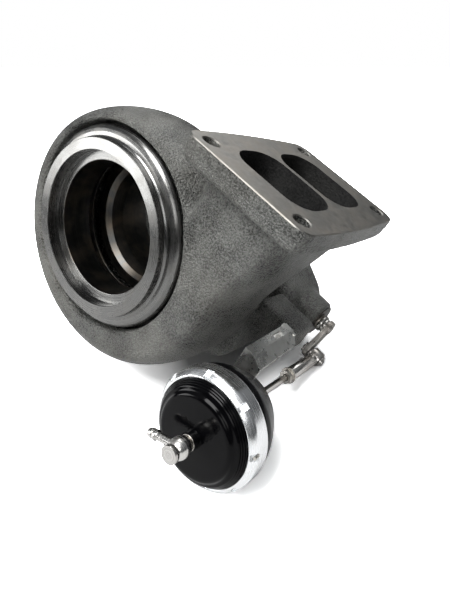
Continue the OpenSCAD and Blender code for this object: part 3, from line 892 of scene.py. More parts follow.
def box_section(x0: Points, x1: Points, y0: Points, y1: Points, rx0: Points, rx1: Points,
                ry: Points, outer: int = 18, inner: int = 6) -> Points:
    """A box section whose corners are (cx + rx cos a, cy + ry sin a) over a quarter turn.

    Args:
        x0: Inner side, one value per station.
        x1: Outer side.
        y0: Front side.
        y1: Back side.
        rx0: Corner depth on the inner side.
        rx1: Corner depth on the outer side.
        ry: Corner length along Y.
        outer: Steps of an outer corner.
        inner: Steps of an inner corner.

    Returns:
        One ring of [radius or X, Y] pairs per station.
    """
    x0, x1, y0, y1, rx0, rx1, ry = np.broadcast_arrays(x0, x1, y0, y1, rx0, rx1, ry)

    def corner(cx: Points, cy: Points, ax: Points, start: float, steps: int) -> Points:
        """Returns a quarter ellipse about (cx, cy) from the start angle on."""
        a = np.radians(start + 90.0 * np.arange(steps + 1) / steps)
        return np.stack([cx[:, None] + ax[:, None] * np.cos(a), cy[:, None] + ry[:, None] * np.sin(a)], -1)

    return np.concatenate([
        corner(x1 - rx1, y1 - ry, rx1, 0.0, outer), corner(x0 + rx0, y1 - ry, rx0, 90.0, inner),
        corner(x0 + rx0, y0 + ry, rx0, 180.0, inner), corner(x1 - rx1, y0 + ry, rx1, 270.0, outer),
    ], axis=1)


def at_turn(section: Points, t: Points) -> Points:
    """Returns sections stood up at turns t of the scroll: (r cos t, y, -r sin t)."""
    a = np.radians(t)[:, None]
    return np.stack([section[..., 0] * np.cos(a), section[..., 1], -section[..., 0] * np.sin(a)], -1)


def at_height(section: Points, z: Points) -> Points:
    """Returns sections laid flat at heights z."""
    return np.dstack([section, np.broadcast_to(z[:, None], section.shape[:2])])


@dataclass
class Casting:
    """The turbine housing's casting with its machined faces.

    Args:
        scroll: Sizes of the scroll.
        flange: Sizes of the inlet flange.
        gate: Sizes of the outlet and the wastegate side.
        lug: Sizes of the bracket's lug.
        voxel: Size of the voxels that fuse the cast outside.
    """

    scroll: ScrollSize = ScrollSize()
    flange: FlangeSize = FlangeSize()
    gate: GateSize = GateSize()
    lug: LugSize = LugSize()
    voxel: float = 2.06

    def outer_r(self, t: Points) -> Points:
        """Returns the scroll's outer radius, which falls evenly with the turn t."""
        return self.scroll.outer - self.scroll.drop * np.minimum(t, self.scroll.shrink_end) / 360.0

    def shell(self) -> Object:
        """The cast scroll and neck: box sections swept down the neck and round the axis.

        Returns:
            The solid.
        """
        s = self.scroll
        up = np.linspace(1.0, 0.0, 40, endpoint=False)
        depth = 0.5 * (s.back - s.front) - 0.2
        inner, outer, deep = s.neck_corners
        neck = box_section(
            mix(s.hub - s.hub_sink, s.neck_in, ease(up)), mix(s.outer, s.neck_out, ease(up)),
            mix(s.front, s.neck_front, ease(up)), mix(s.back, s.neck_back, ease(up)),
            mix(s.inner_corner, inner, up), mix(s.corner, outer, up), mix(depth, deep, ease(up)))
        turn = np.linspace(0.0, s.end, 110)
        ring = box_section(s.hub - s.hub_sink + 0 * turn, self.outer_r(turn), s.front, s.back,
                           s.inner_corner, s.corner, depth)
        return loft("shell", np.concatenate([at_height(neck, s.neck_top * up), at_turn(ring, turn)]))

    def duct_span(self, side: int) -> Triple:
        """Where a passage lies along Y.

        Args:
            side: 0 for the front passage and 1 for the rear one.

        Returns:
            Its front and back in the scroll, and its front at the port.
        """
        s, f = self.scroll, self.flange
        if side == 0:
            return s.front + s.front_wall, s.divider - s.divider_half, f.y - f.port_w - 0.5 * f.port_gap
        return s.divider + s.divider_half, s.back - s.back_wall, f.y + 0.5 * f.port_gap

    def duct(self, side: int) -> Object:
        """One gas passage: a rounded port eased into the scroll, whose radius falls with the turn.

        Args:
            side: 0 for the front passage and 1 for the rear one.

        Returns:
            The passage as a solid.
        """
        s, f = self.scroll, self.flange
        low, high, start = self.duct_span(side)
        last, inner = s.end - 4, s.hub - s.duct_sink
        near, far, deep = s.duct_corners
        up = np.linspace(1.0, 0.0, 30, endpoint=False)
        neck = box_section(
            mix(inner, f.x - 0.5 * f.port_len, ease(up)),
            mix(s.outer - s.wall, f.x + 0.5 * f.port_len, ease(up)),
            mix(low, start, ease(up)), mix(high, start + f.port_w, ease(up)),
            mix(near, f.port_corner, up), mix(far, f.port_corner, up), mix(deep, f.port_corner, up), 10, 10)
        turn = np.linspace(0.0, last, 90)
        outer = mix(s.outer - s.wall, s.hub + 4, (turn / last) ** 0.9)
        ring = box_section(inner + 0 * turn, outer, low, high, near,
                           np.minimum(far, 0.45 * (outer - inner)), deep, 10, 10)
        rings = np.concatenate([at_height(neck[:1], np.array([f.top + 1])),
                                at_height(neck, f.under * up), at_turn(ring, turn)])
        return loft("duct", rings)

    def flange_outline(self) -> Points:
        """The flange's outline: straight front and rear sides, and long sides bowed as a circle.

        Returns:
            The outline, anticlockwise.
        """
        f = self.flange
        bow = (0.25 * f.length ** 2 + f.bow ** 2) / (2 * f.bow)
        reach = 0.5 * f.length - f.corner
        side = 0.5 * f.width
        y = np.linspace(-reach, reach, 41)
        x = side + f.bow - (bow - np.sqrt(bow ** 2 - y ** 2))
        a = np.radians(np.linspace(0.0, 90.0, 14)[1:-1])
        deep = x[-1] - (side - f.corner)
        corner = np.stack([side - f.corner + deep * np.cos(a), reach + f.corner * np.sin(a)], -1)
        quarter = np.concatenate([corner, [[side - f.corner, reach + f.corner]]])
        half = np.concatenate([quarter[::-1] * [1.0, -1.0], np.stack([x, y], -1), quarter])
        return np.concatenate([half, -half]) + [f.x, f.y]

    def hub_back(self) -> Object:
        """The turned cast hub behind the scroll, up to the outlet lip.

        Returns:
            The solid.
        """
        s, g = self.scroll, self.gate
        profile = [[0, s.front + 1], [s.hub + 12, s.front + 1], [s.hub + 12, s.back - 6],
                   [s.hub + 2, s.back + 8], [s.hub + 1, g.outlet - 26], [g.bore + 6, g.outlet - 14],
                   [g.bore + 6, g.outlet - g.lip_w - 3], [g.lip_r - 1, g.outlet - g.lip_w],
                   [g.lip_r - 1, g.outlet - 1], [0, g.outlet - 1]]
        return revolve("hub", rounded(profile, 1.5), Line())

    def relief(self) -> Object:
        """The hollow turned around the clamp groove.

        Returns:
            The hollow as a solid.
        """
        profile = [[71.2, 4.6], [88.5, 4.6], [88.0, 7.3], [84.4, 7.8], [82.7, 9.6], [82.6, 11.6],
                   [81.6, 21.6], [76.6, 26.1], [71.2, 26.1]]
        return revolve("relief", rounded(profile, [0, 0, 0.3, 1.4, 1.4, 0.5, 3, 4, 0]), Line(), 192, True)

    def blanks(self) -> list[Object]:
        """The scroll, hub, gate, chamber, boss, lug and flange that the cast outside is fused from.

        Returns:
            The rough solids.
        """
        s, f, g, b = self.scroll, self.flange, self.gate, self.lug
        chamber = egg(0, 0, g.bore + 3, g.valve_x, g.valve_z + 8, g.chamber_r)
        lug = rounded([[b.left, b.low], [b.right, b.low], [b.right, b.high], [b.left, b.high]], 3.0)
        return [
            self.shell(), self.hub_back(),
            revolve("gate", rounded([[0, s.back - 22], [g.chamber_r - 11, s.back - 22],
                                     [g.chamber_r - 11, g.outlet - 60], [0, g.outlet - 60]], 0.5),
                    y_line(g.valve_x, g.valve_z + 2)),
            slab("chamber", chamber,
                 [(g.outlet - 66, 6), (g.outlet - 63, 2), (g.outlet - 58, 0), (g.outlet - 7, 0),
                  (g.outlet - 3.5, 1.5), (g.outlet - 2, 4)], (0, 2, 1)),
            revolve("boss", rounded([[0, g.valve_x], [g.boss_r, g.valve_x], [g.boss_r, g.boss_x - 1],
                                     [0, g.boss_x - 1]], [0, 0, 3, 0]), x_line(g.shaft_y, g.shaft_z)),
            slab("lug", lug, [(b.front, 1.5), (b.front + 1.9, 0), (b.back - 2.5, 0), (b.back, 2)], (0, 2, 1)),
            slab("flange", inset(self.flange_outline(), 0.4),
                 [(f.under + 0.4, 2.5), (f.under + 3, 0), (f.top - 1.5, 0)], (0, 1, 2)),
        ]

    def machined(self) -> list[Object]:
        """The clamp ring, outlet lip, flange plate and boss seat that are added to the fused outside.

        Returns:
            The crisp solids.
        """
        f, g = self.flange, self.gate
        ring = rounded(
            [[0, 0], [69.2, 0], [69.3, 5.2], [70.8, 6.6], [73.9, 6.6], [77.1, 7.5], [79.1, 9.4], [79.9, 11.6],
             [79.9, 12.6], [78.9, 13.6], [73, 16], [73, 25.6], [70, 27.6], [0, 27.6]],
            [0, 0.6, 0.6, 0.7, 0.3, 1.5, 1.3, 0.5, 0.4, 0.8, 1.5, 2.0, 0, 0], 9)
        lip = rounded([[0, g.outlet - 12], [g.bore + 5, g.outlet - 12],
                       [g.bore + 5.4, g.outlet - g.lip_w - 3], [g.lip_r, g.outlet - g.lip_w],
                       [g.lip_r, g.outlet], [0, g.outlet]], [0, 0, 2, 1.2, 0.8, 0])
        plate = slab("plate", self.flange_outline(),
                     [(f.top - 9, 1.0), (f.top - 8.4, 0.3), (f.top - 7.6, 0.0), (f.top - 0.7, 0.0),
                      (f.top, 0.6)], (0, 1, 2))
        seat = revolve("seat", rounded([[0, g.boss_x - 6], [g.boss_r - 2.5, g.boss_x - 6],
                                        [g.boss_r - 2.5, g.boss_x], [0, g.boss_x]], [0, 0, 0.8, 0]),
                       x_line(g.shaft_y, g.shaft_z), 96)
        return [revolve("ring", ring, Line(), 192), revolve("lip", lip, Line(), 160), plate, seat]

    def cuts(self) -> list[Object]:
        """The passages, bores, chamber and bolt holes.

        Returns:
            The solids that are cut out.
        """
        s, f, g, b = self.scroll, self.flange, self.gate, self.lug
        bore = rounded(
            [[0, -1], [60.9, -1], [60.2, 0.7], [60.2, 9.1], [53.1, 9.1], [52.6, 9.6], [52.6, 32.8],
             [63, 32.8], [63, 39], [57.6, 40.3], [57.6, 41.9], [63, 43.2], [63, 49.4], [52.3, 49.4],
             [48.4, 53.4], [45.4, 62.4], [45.4, 89.6], [g.bore - 1, g.seat - 0.5],
             [g.bore - 1, g.outlet - 7.5], [g.bore, g.outlet - 7.5], [g.bore, g.outlet + 1],
             [0, g.outlet + 1]], 0.25, 4)
        hole = [[0, f.under - 2], [f.bolt_r, f.under - 2], [f.bolt_r, f.top - 0.7],
                [f.bolt_r + 0.8, f.top + 0.1], [f.bolt_r + 0.8, f.top + 1], [0, f.top + 1]]
        posts = [Line((f.x + dx * f.bolt_x, f.y + dy * f.bolt_y, 0.0), (0.0, 0.0, 1.0))
                 for dx in (-0.5, 0.5) for dy in (-0.5, 0.5)]
        return [
            self.duct(0), self.duct(1), revolve("bore", bore, Line(), 160),
            slab("chamber", egg(0, 0, g.bore - 3, g.valve_x, g.valve_z + 8, g.chamber_r - s.wall),
                 [(g.seat, 1.5), (g.seat + 1.5, 0), (g.outlet - 10, 0), (g.outlet - 8, 2)], (0, 2, 1)),
            revolve("gate", rounded([[0, s.front + 51], [g.throat_r, s.front + 51], [g.throat_r, g.seat - 1],
                                     [g.throat_r + 1, g.seat], [g.throat_r + 1, g.seat + 8], [0, g.seat + 8]],
                                    0.1), y_line(g.valve_x, g.valve_z), 72),
            revolve("bush", [[0, g.bush_x], [g.bush_r, g.bush_x], [g.bush_r, g.boss_x + 1],
                             [0, g.boss_x + 1]], x_line(g.shaft_y, g.shaft_z), 72),
            *[revolve("hole", hole, post, 64) for post in posts],
            *[revolve("thread", [[0, b.front - 1.6], [b.hole_r, b.front - 1.6], [b.hole_r, b.hole_end],
                                 [0, b.hole_end]], y_line(b.hole_x, z), 32) for z in b.hole_z],
        ]

    def paint(self, obj: Object) -> None:
        """Gives each face its finish, by where it lies and which way it looks.

        Args:
            obj: The casting.
        """
        s, f, g = self.scroll, self.flange, self.gate
        middle, normal = centres(obj.data)
        x, y, z = middle.T
        r = np.hypot(x, z)
        kind = np.full(len(middle), Skin.CAST)
        # Turned places by outer radius, front and back; the bore's faces take a dull finish that is darkened
        # to paint the shade inside the bore
        for reach, front, back, skin in (
            (80.2, -1.0, 15.9, Skin.RING), (60.6, 9.3, 53.0, Skin.BORE), (48.6, 49.0, 92.0, Skin.BORE),
            (g.lip_r + 1.0, g.outlet - 7.5, g.outlet + 1.0, Skin.BORE),
        ):
            kind[(r < reach) & (y > front) & (y < back)] = skin
        kind[(z > f.top - 0.8) & (normal[:, 2] > 0.3)] = Skin.INLET
        kind[(np.hypot(y - g.shaft_y, z - g.shaft_z) < 17) & (x > g.boss_x - 0.9)] = Skin.BORE
        share = ease(np.clip(z / f.under, 0.0, 1.0))
        inner, outer = s.hub - s.duct_sink, s.outer - s.wall
        for side in (0, 1):
            low, high, start = self.duct_span(side)
            away_x = x - mix(0.5 * (inner + outer), f.x, share)
            away_y = y - mix(0.5 * (low + high), start + 0.5 * f.port_w, share)
            reach_x = mix(0.5 * (outer - inner), 0.5 * f.port_len, share)
            reach_y = mix(0.5 * (high - low), 0.5 * f.port_w, share)
            near = (np.abs(away_x) < reach_x + 1.5) & (np.abs(away_y) < reach_y + 1.5)
            inwards = away_x * normal[:, 0] + away_y * normal[:, 1] < 0
            # Faces inside the ports take the near-black finish, painted shade for the dark inside of the
            # passages
            kind[near & inwards & (z > 4.0) & (z < f.top - 0.05) & (normal[:, 2] < 0.6)] = Skin.PASSAGE
        obj.data.polygons.foreach_set("material_index", kind)

    def build(self) -> Object:
        """Fuses, softens, machines and dresses the casting.

        Returns:
            The piece.
        """
        body = join("Casting", self.blanks())
        remesh(body, self.voxel)
        combine(body, Operation.CUT, self.relief())
        combine(body, Operation.ADD, *self.machined())
        combine(body, Operation.CUT, *self.cuts())
        smooth(body)
        iron = CastFinish("CastIron", (0.011, 0.0112, 0.0104), (0.2, 0.202, 0.19), 0.38, 2.6)
        ring = TurnedFinish("TurnedRing", (0.18, 0.18, 0.176), rings=2400.0, roughness=0.24, contrast=0.35,
                            tint=(0.2, 0.18, 0.15), tint_share=0.15, spread=0.7)
        face = BrushedFinish("GroundFace", (0.22, 0.215, 0.2), (260.0, 420.0, 260.0), 0.42,
                             tint=(0.2, 0.17, 0.14), tint_share=0.35)
        # Dull turned metal, partly its own dull finish and partly darkened as painted shade inside the bore;
        # the outlet lip and the shaft boss's seat take it too
        dull_and_shade = TurnedFinish("TurnedBoreShade", (0.06, 0.06, 0.058), roughness=0.34)
        # Near-black iron inside the passages: painted shade, the same cast iron darkened
        inside = CastFinish("PassageShadeIron", (0.006, 0.006, 0.006), (0.03, 0.03, 0.029), 0.6, 0.5)
        dress(body, [iron, ring, face, dull_and_shade, inside], Slot.IRON, Body.ROOT, "turbine_housing")
        self.paint(body)
        return body


# The actuator


@dataclass(frozen=True)
class ActuatorSize:
    """Sizes of the actuator, in millimetres."""

    x: float = 168.5
    z: float = -36.0
    seam: float = -5.0
    collar_r: float = 43.0
    collar_front: float = -11.0
    collar_back: float = 1.0
    cap_r: float = 37.6
    cap_front: float = -22.0
    can_r: float = 38.0
    can_back: float = 28.0
    tail_r: float = 31.0
    notches: int = 8
    notch_turn: float = 17.0
    notch_depth: float = 2.2
    stud_x: float = 16.5
    rim_r: float = 40.4
    rim_half: float = 3.3
    ball_y: float = -33.4
    ball_r: float = 7.5


@dataclass
class Actuator:
    """The actuator's turned shells: cap, clamp ring and lower can.

    Args:
        size: Its sizes.
    """

    size: ActuatorSize = ActuatorSize()

    @property
    def line(self) -> Line:
        """The actuator's axis."""
        return y_line(self.size.x, self.size.z)

    def cap(self) -> Object:
        """The black cap: a ribbed neck, a flat front, a shoulder with turned grooves, and a hollow inside.

        Returns:
            The piece.
        """
        s = self.size
        front = s.cap_front
        rib = ((6.6, -3.7), (6.0, -3.5), (6.0, -2.9), (6.6, -2.7))
        ribs = [[r, front + y + k] for k in (0.0, 1.8) for r, y in rib]
        neck = [[4.0, front - 4.6], [6.6, front - 4.6], *ribs, [6.6, front]]
        shoulder = [[28.0, front], [29.9, front + 0.6], [31.3, front + 2.5], [33.9, front + 3.2]]
        start = front + 4.0 + 1.2 * np.arange(3)[:, None]
        place = start + [0.0, 0.05, 0.55, 0.6]
        reach = 34.2 + 0.85 * (place - front - 3.4) - [0.0, 0.85, 0.85, 0.0]
        grooves = np.stack([reach, place], -1).reshape(-1, 2).tolist()
        inside = [[s.cap_r, front + 7.5], [s.cap_r, s.seam - s.rim_half], [s.rim_r, s.seam - s.rim_half],
                  [s.rim_r, s.seam - 0.3],
                  [35.1, s.seam - 0.3], [35.1, front + 8.5], [28, front + 5.0], [25, front + 2.5],
                  [4.0, front + 2.5]]
        radii = [0.2, 0.3, *[0.15] * 8, 0.4, 1.2, 1.6, 1.2, 0.5, *[0.12] * 12, 0.4, *[0.2] * 8]
        profile = rounded(neck + shoulder + grooves + inside, radii, 5)
        obj = revolve("TopCap", profile, self.line, 160, True)
        black = GlossFinish("CapBlack", (0.001, 0.001, 0.0013), 0.11, 0.09)
        return dress(obj, [black], Slot.BLACK, Body.ROOT, "top_cap")

    def collar(self) -> Object:
        """The clamp ring: a turned profile with notches milled into its front edge.

        Returns:
            The piece.
        """
        s = self.size
        front, back = s.collar_front, s.collar_back
        profile = rounded(
            [[37.9, front - 3.2], [39.2, front - 3.6], [s.collar_r - 1.2, front - 0.8],
             [s.collar_r, front + 1.2], [s.collar_r, back - 0.9], [s.collar_r - 0.7, back],
             [39.0, back], [39.0, s.seam + 3.35], [40.6, s.seam + 3.35], [40.6, s.seam - 3.35],
             [37.9, s.seam - 3.35]],
            [0.3, 0.6, 1.2, 1.2, 0.8, 0.5, 0.2, 0, 0, 0, 0])
        obj = revolve("ClampCollar", profile, self.line, 192, True)
        notch = rounded([[-2.5, 39.4], [2.5, 39.4], [2.5, 46.0], [-2.5, 46.0]], [1.2, 1.2, 0, 0])
        for k in range(s.notches):
            a = math.radians(360 / s.notches * k + s.notch_turn)
            turn = np.array([[math.cos(a), math.sin(a)], [-math.sin(a), math.cos(a)]])
            combine(obj, Operation.CUT, slab("notch", notch @ turn.T + [s.x, s.z],
                                             [(front - 5, 0), (front + s.notch_depth, 0)], (0, 2, 1)))
        smooth(obj)
        bright = TurnedFinish("CollarAluminium", (0.88, 0.89, 0.9), (s.x * MM, 0.0, s.z * MM), 1, 0.23,
                              3200.0, 0.04, (0.7, 0.71, 0.72), 0.1, spread=0.3)
        return dress(obj, [bright], Slot.ALUMINIUM, Body.ROOT, "clamp_collar")

    def can(self) -> Object:
        """The black lower can: a rim step, a short barrel and a tapered tail, hollow inside.

        Returns:
            The piece.
        """
        s = self.size
        back = s.can_back
        profile = rounded(
            [[9, back - 2.5], [s.tail_r - 5, back - 2.5], [s.tail_r - 3.5, back - 5],
             [s.can_r - 2.5, back - 13], [s.can_r - 2.5, s.seam + 0.3], [s.rim_r, s.seam + 0.3],
             [s.rim_r, s.seam + s.rim_half], [s.can_r + 0.6, s.seam + s.rim_half],
             [s.can_r + 0.6, s.collar_back + 1], [s.rim_r + 0.6, s.collar_back + 1.6],
             [s.rim_r + 0.6, s.collar_back + 6], [s.can_r - 1, back - 12], [s.tail_r, back - 3],
             [s.tail_r - 2, back], [9, back]],
            [0, 1, 2, 3, 0, 0, 0, 0, 0.3, 1.0, 2.0, 5.0, 2.0, 1.0, 0])
        obj = revolve("LowerCan", profile, self.line, 160, True)
        hole = [[0, back - 3.5], [3.02, back - 3.5], [3.02, back + 1], [0, back + 1]]
        combine(obj, Operation.CUT, *[revolve("hole", hole, y_line(s.x + side, s.z), 40)
                                      for side in (-s.stud_x, s.stud_x)])
        smooth(obj)
        black = GlossFinish("CanBlack", (0.002, 0.002, 0.0025), 0.2, 0.22)
        return dress(obj, [black], Slot.BLACK, Body.ROOT, "lower_can")

    def banjo(self) -> Object:
        """The ball fitting with a ribbed barb: a turned ball and a turned barb, fused and bored.

        Returns:
            The piece.
        """
        s = self.size
        middle, half = s.ball_y, 6.0
        place = np.linspace(-half, half, 25)
        curve = np.stack([np.sqrt(s.ball_r ** 2 - place ** 2), middle + place], -1)
        outside = np.concatenate([[[0, middle - half]], curve, [[0, middle + half]]])
        obj = revolve("BanjoFitting", outside, self.line, 96)
        dip = math.radians(28.0)
        spout = Line((s.x, middle, s.z), (-math.cos(dip), 0.0, -math.sin(dip)), (0.0, 1.0, 0.0))
        barb = rounded([[0, 0], [2.6, 0], [2.6, 19.0], [2.75, 19.6], [3.7, 19.7], [3.45, 21.6], [2.8, 22.9],
                        [3.45, 23.2], [3.1, 25.0], [2.6, 27.0], [0, 27.0]],
                       [0, 0, 0.2, 0.2, 0.25, 0.4, 0.3, 0.3, 0.4, 0.4, 0], 5)
        bore = [[0, middle - 8], [4.08, middle - 8], [4.08, middle + 8], [0, middle + 8]]
        combine(obj, Operation.ADD, revolve("barb", barb, spout, 64))
        combine(obj, Operation.CUT, revolve("bore", bore, self.line, 64),
                revolve("way", [[0, 0], [1.6, 0], [1.6, 29], [0, 29]], spout, 40))
        smooth(obj)
        tinted = TurnedFinish("BanjoSteel", (0.62, 0.61, 0.59), (s.x * MM, 0.0, s.z * MM), 1, 0.22, 1800.0,
                              0.06, (0.4, 0.36, 0.32), 0.2)
        return dress(obj, [tinted], Slot.STAINLESS, Body.BANJO, "banjo_fitting")

    def build(self) -> list[Object]:
        """Returns the actuator's new pieces."""
        return [self.cap(), self.collar(), self.can(), self.banjo()]


# CAD nodes that are kept


@dataclass(frozen=True)
class KeptNode:
    """A CAD node that is shown as it is, with its edges broken and a finish.

    Args:
        node: Name of the node.
        finish: Its finish.
        slot: A material slot; not used.
        edge_mm: Width of the broken edges, or 0 for none.
    """

    node: str
    finish: Finish
    slot: Slot
    edge_mm: float = 0.25

    def build(self) -> Object:
        """Dresses the node.

        Returns:
            The node's own object.
        """
        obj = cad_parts[self.node]
        obj.data.materials.clear()
        obj.data.materials.append(self.finish.build())
        if self.edge_mm:
            weld = obj.modifiers.new("weld", "WELD")
            weld.merge_threshold = MERGE
            edge = obj.modifiers.new("edges", "BEVEL")
            edge.width = self.edge_mm * MM
            edge.segments = 2
            edge.limit_method = "ANGLE"
            edge.angle_limit = math.radians(BEND)
            edge.harden_normals = True
        return obj


def kept_nodes() -> list[KeptNode]:
    """The CAD nodes that keep their own shape, each with its finish.

    Returns:
        The nodes, in the order of the assembly.
    """
    dark, bright, plated, rubber = Slot.DARK_STEEL, Slot.STAINLESS, Slot.PLATED, Slot.RUBBER
    size, gate = ActuatorSize(), GateSize()
    # Axes that finishes turn about, each a point on it and the number of its direction
    rod = ((size.x * MM, 0.0, size.z * MM), 1)
    pin = ((0.0, gate.pin_y * MM, size.z * MM), 0)
    shaft = ((0.0, gate.shaft_y * MM, gate.shaft_z * MM), 0)
    valve = ((gate.valve_x * MM, 0.0, gate.valve_z * MM), 1)
    used = {"tint": (0.28, 0.24, 0.2), "tint_share": 0.3}
    even = (300.0, 300.0, 300.0)
    return [
        KeptNode("wastegate_bush", TurnedFinish("BushSteel", (0.34, 0.31, 0.27), *shaft, 0.4), dark),
        KeptNode("wastegate_shaft", TurnedFinish("ShaftSteel", (0.5, 0.48, 0.45), *shaft, 0.3, **used),
                 dark, 0.4),
        KeptNode("wastegate_valve", TurnedFinish("ValveSteel", (0.33, 0.3, 0.27), *valve, 0.42), dark),
        KeptNode("valve_retainer", TurnedFinish("RetainerSteel", (0.33, 0.3, 0.27), *valve, 0.42), dark),
        KeptNode("thrust_washers", TurnedFinish("WasherSteel", (0.58, 0.57, 0.54), *shaft, 0.26, **used),
                 bright),
        KeptNode("lever", BrushedFinish("LeverSteel", (0.46, 0.44, 0.41), (700.0, 120.0, 300.0), 0.32,
                                        tint=(0.2, 0.16, 0.13), tint_share=0.4), bright, 0.5),
        KeptNode("lever_pin", TurnedFinish("PinSteel", (0.6, 0.58, 0.55), *pin, 0.24, **used), bright),
        KeptNode("pin_clip", TurnedFinish("ClipSteel", (0.58, 0.56, 0.53), *pin, 0.28, **used), bright),
        KeptNode("rod_end", TurnedFinish("RodEndSteel", (0.56, 0.54, 0.51), *pin, 0.28, **used), bright, 0.5),
        KeptNode("adjuster_sleeve",
                 BrushedFinish("SleeveSteel", (0.72, 0.7, 0.67), (800.0, 60.0, 800.0), 0.24,
                               tint=(0.3, 0.24, 0.19), tint_share=0.4), bright, 0.4),
        KeptNode("lock_nut", TurnedFinish("NutSteel", (0.62, 0.6, 0.56), *rod, 0.24), bright, 0.3),
        KeptNode("actuator_rod", TurnedFinish("RodSteel", (0.72, 0.7, 0.67), *rod, 0.14, 3600.0, 0.08,
                                              (0.4, 0.32, 0.22), 0.2), bright),
        KeptNode("piston", TurnedFinish("PistonMetal", (0.7, 0.7, 0.71), *rod, 0.3), Slot.ALUMINIUM),
        KeptNode("piston_nut", TurnedFinish("PistonNutSteel", (0.6, 0.6, 0.58), *rod, 0.3), plated),
        KeptNode("diaphragm", GlossFinish("DiaphragmRubber", (0.02, 0.02, 0.02), 0.6), rubber, 0.0),
        KeptNode("outer_spring", TurnedFinish("OuterSpringSteel", (0.46, 0.46, 0.46), *rod, 0.3),
                 plated, 0.0),
        KeptNode("inner_spring", TurnedFinish("InnerSpringSteel", (0.5, 0.5, 0.5), *rod, 0.3), plated, 0.0),
        KeptNode("rod_guide", TurnedFinish("GuideSteel", (0.5, 0.5, 0.48), *rod, 0.3), plated),
        KeptNode("dust_seal", GlossFinish("SealRubber", (0.02, 0.02, 0.02), 0.6), rubber),
        KeptNode("collar_pin", TurnedFinish("CollarPinSteel", (0.62, 0.6, 0.56), *rod, 0.26), bright, 0.15),
        KeptNode("banjo_bolt", TurnedFinish("BanjoBoltSteel", (0.6, 0.59, 0.57), *rod, 0.22, 2600.0, 0.2,
                                            (0.36, 0.32, 0.28), 0.3), bright, 0.5),
        KeptNode("banjo_washers", TurnedFinish("BanjoWasherSteel", (0.6, 0.58, 0.55), *rod, 0.24),
                 bright, 0.15),
        KeptNode("bracket", BrushedFinish("BracketSheet", (0.75, 0.75, 0.72), (160.0, 160.0, 160.0), 0.26,
                                          0.1, (0.4, 0.39, 0.36), 0.15, 0.006), plated, 0.6),
        KeptNode("bracket_bolts", BrushedFinish("BracketBoltSteel", (0.5, 0.49, 0.46), even, 0.34),
                 plated, 0.3),
        KeptNode("bracket_washers", BrushedFinish("BracketWasherSteel", (0.56, 0.55, 0.52), even, 0.32),
                 plated, 0.15),
        KeptNode("can_studs", TurnedFinish("StudSteel", (0.52, 0.51, 0.48), *rod, 0.32), plated, 0.3),
        KeptNode("stud_nuts", BrushedFinish("StudNutSteel", (0.56, 0.55, 0.52), even, 0.3), plated, 0.3),
    ]


# Studio


# The viewer's right, down and ahead, the floor's own up, and the object's middle in metres
RIGHT = np.array([0.704061, 0.499015, 0.505255])
DOWN = np.array([0.634199, -0.121716, -0.763529])
AHEAD = np.array([-0.319515, 0.858003, -0.40217])
SKY = np.array([-0.44, -0.252, 0.862])
MIDDLE = np.array([0.06, 0.06, 0.0])
# The picture's width and height in pixels
PICTURE = (450.0, 600.0)
WHITE = (1.0, 1.0, 1.0)


def stand(obj: Object, axes: Points, at: Points) -> Object:
    """Turns an object's own X, Y and Z to three directions and puts it at a point.

    Args:
        obj: The object.
        axes: The three directions as columns.
        at: The point, in metres.

    Returns:
        The object.
    """
    obj.matrix_world = Matrix(np.block([[axes, at[:, None]], [np.zeros((1, 3)), np.ones((1, 1))]]).tolist())
    return obj


@dataclass(frozen=True)
class SoftLight:
    """A square area light placed by the viewer's own directions.

    Args:
        name: Name of the light.
        right: Distance to the viewer's right, in metres.
        up: Distance upwards in the picture.
        near: Distance towards the viewer.
        side: Length of a side.
        watts: Power.
    """

    name: str
    right: float
    up: float
    near: float
    side: float
    watts: float

    def build(self) -> Object:
        """Sets the light up, aimed at the object.

        Returns:
            The light's object.
        """
        lamp = bpy.data.lights.new(self.name, "AREA")
        lamp.shape = "SQUARE"
        lamp.size = self.side
        lamp.energy = self.watts
        away = RIGHT * self.right - DOWN * self.up - AHEAD * self.near
        place = MIDDLE + away
        away /= np.linalg.norm(away)
        side = np.cross(SKY, away)
        side /= np.linalg.norm(side)
        return stand(shown(self.name, lamp), np.stack([side, np.cross(away, side), away], 1), place)


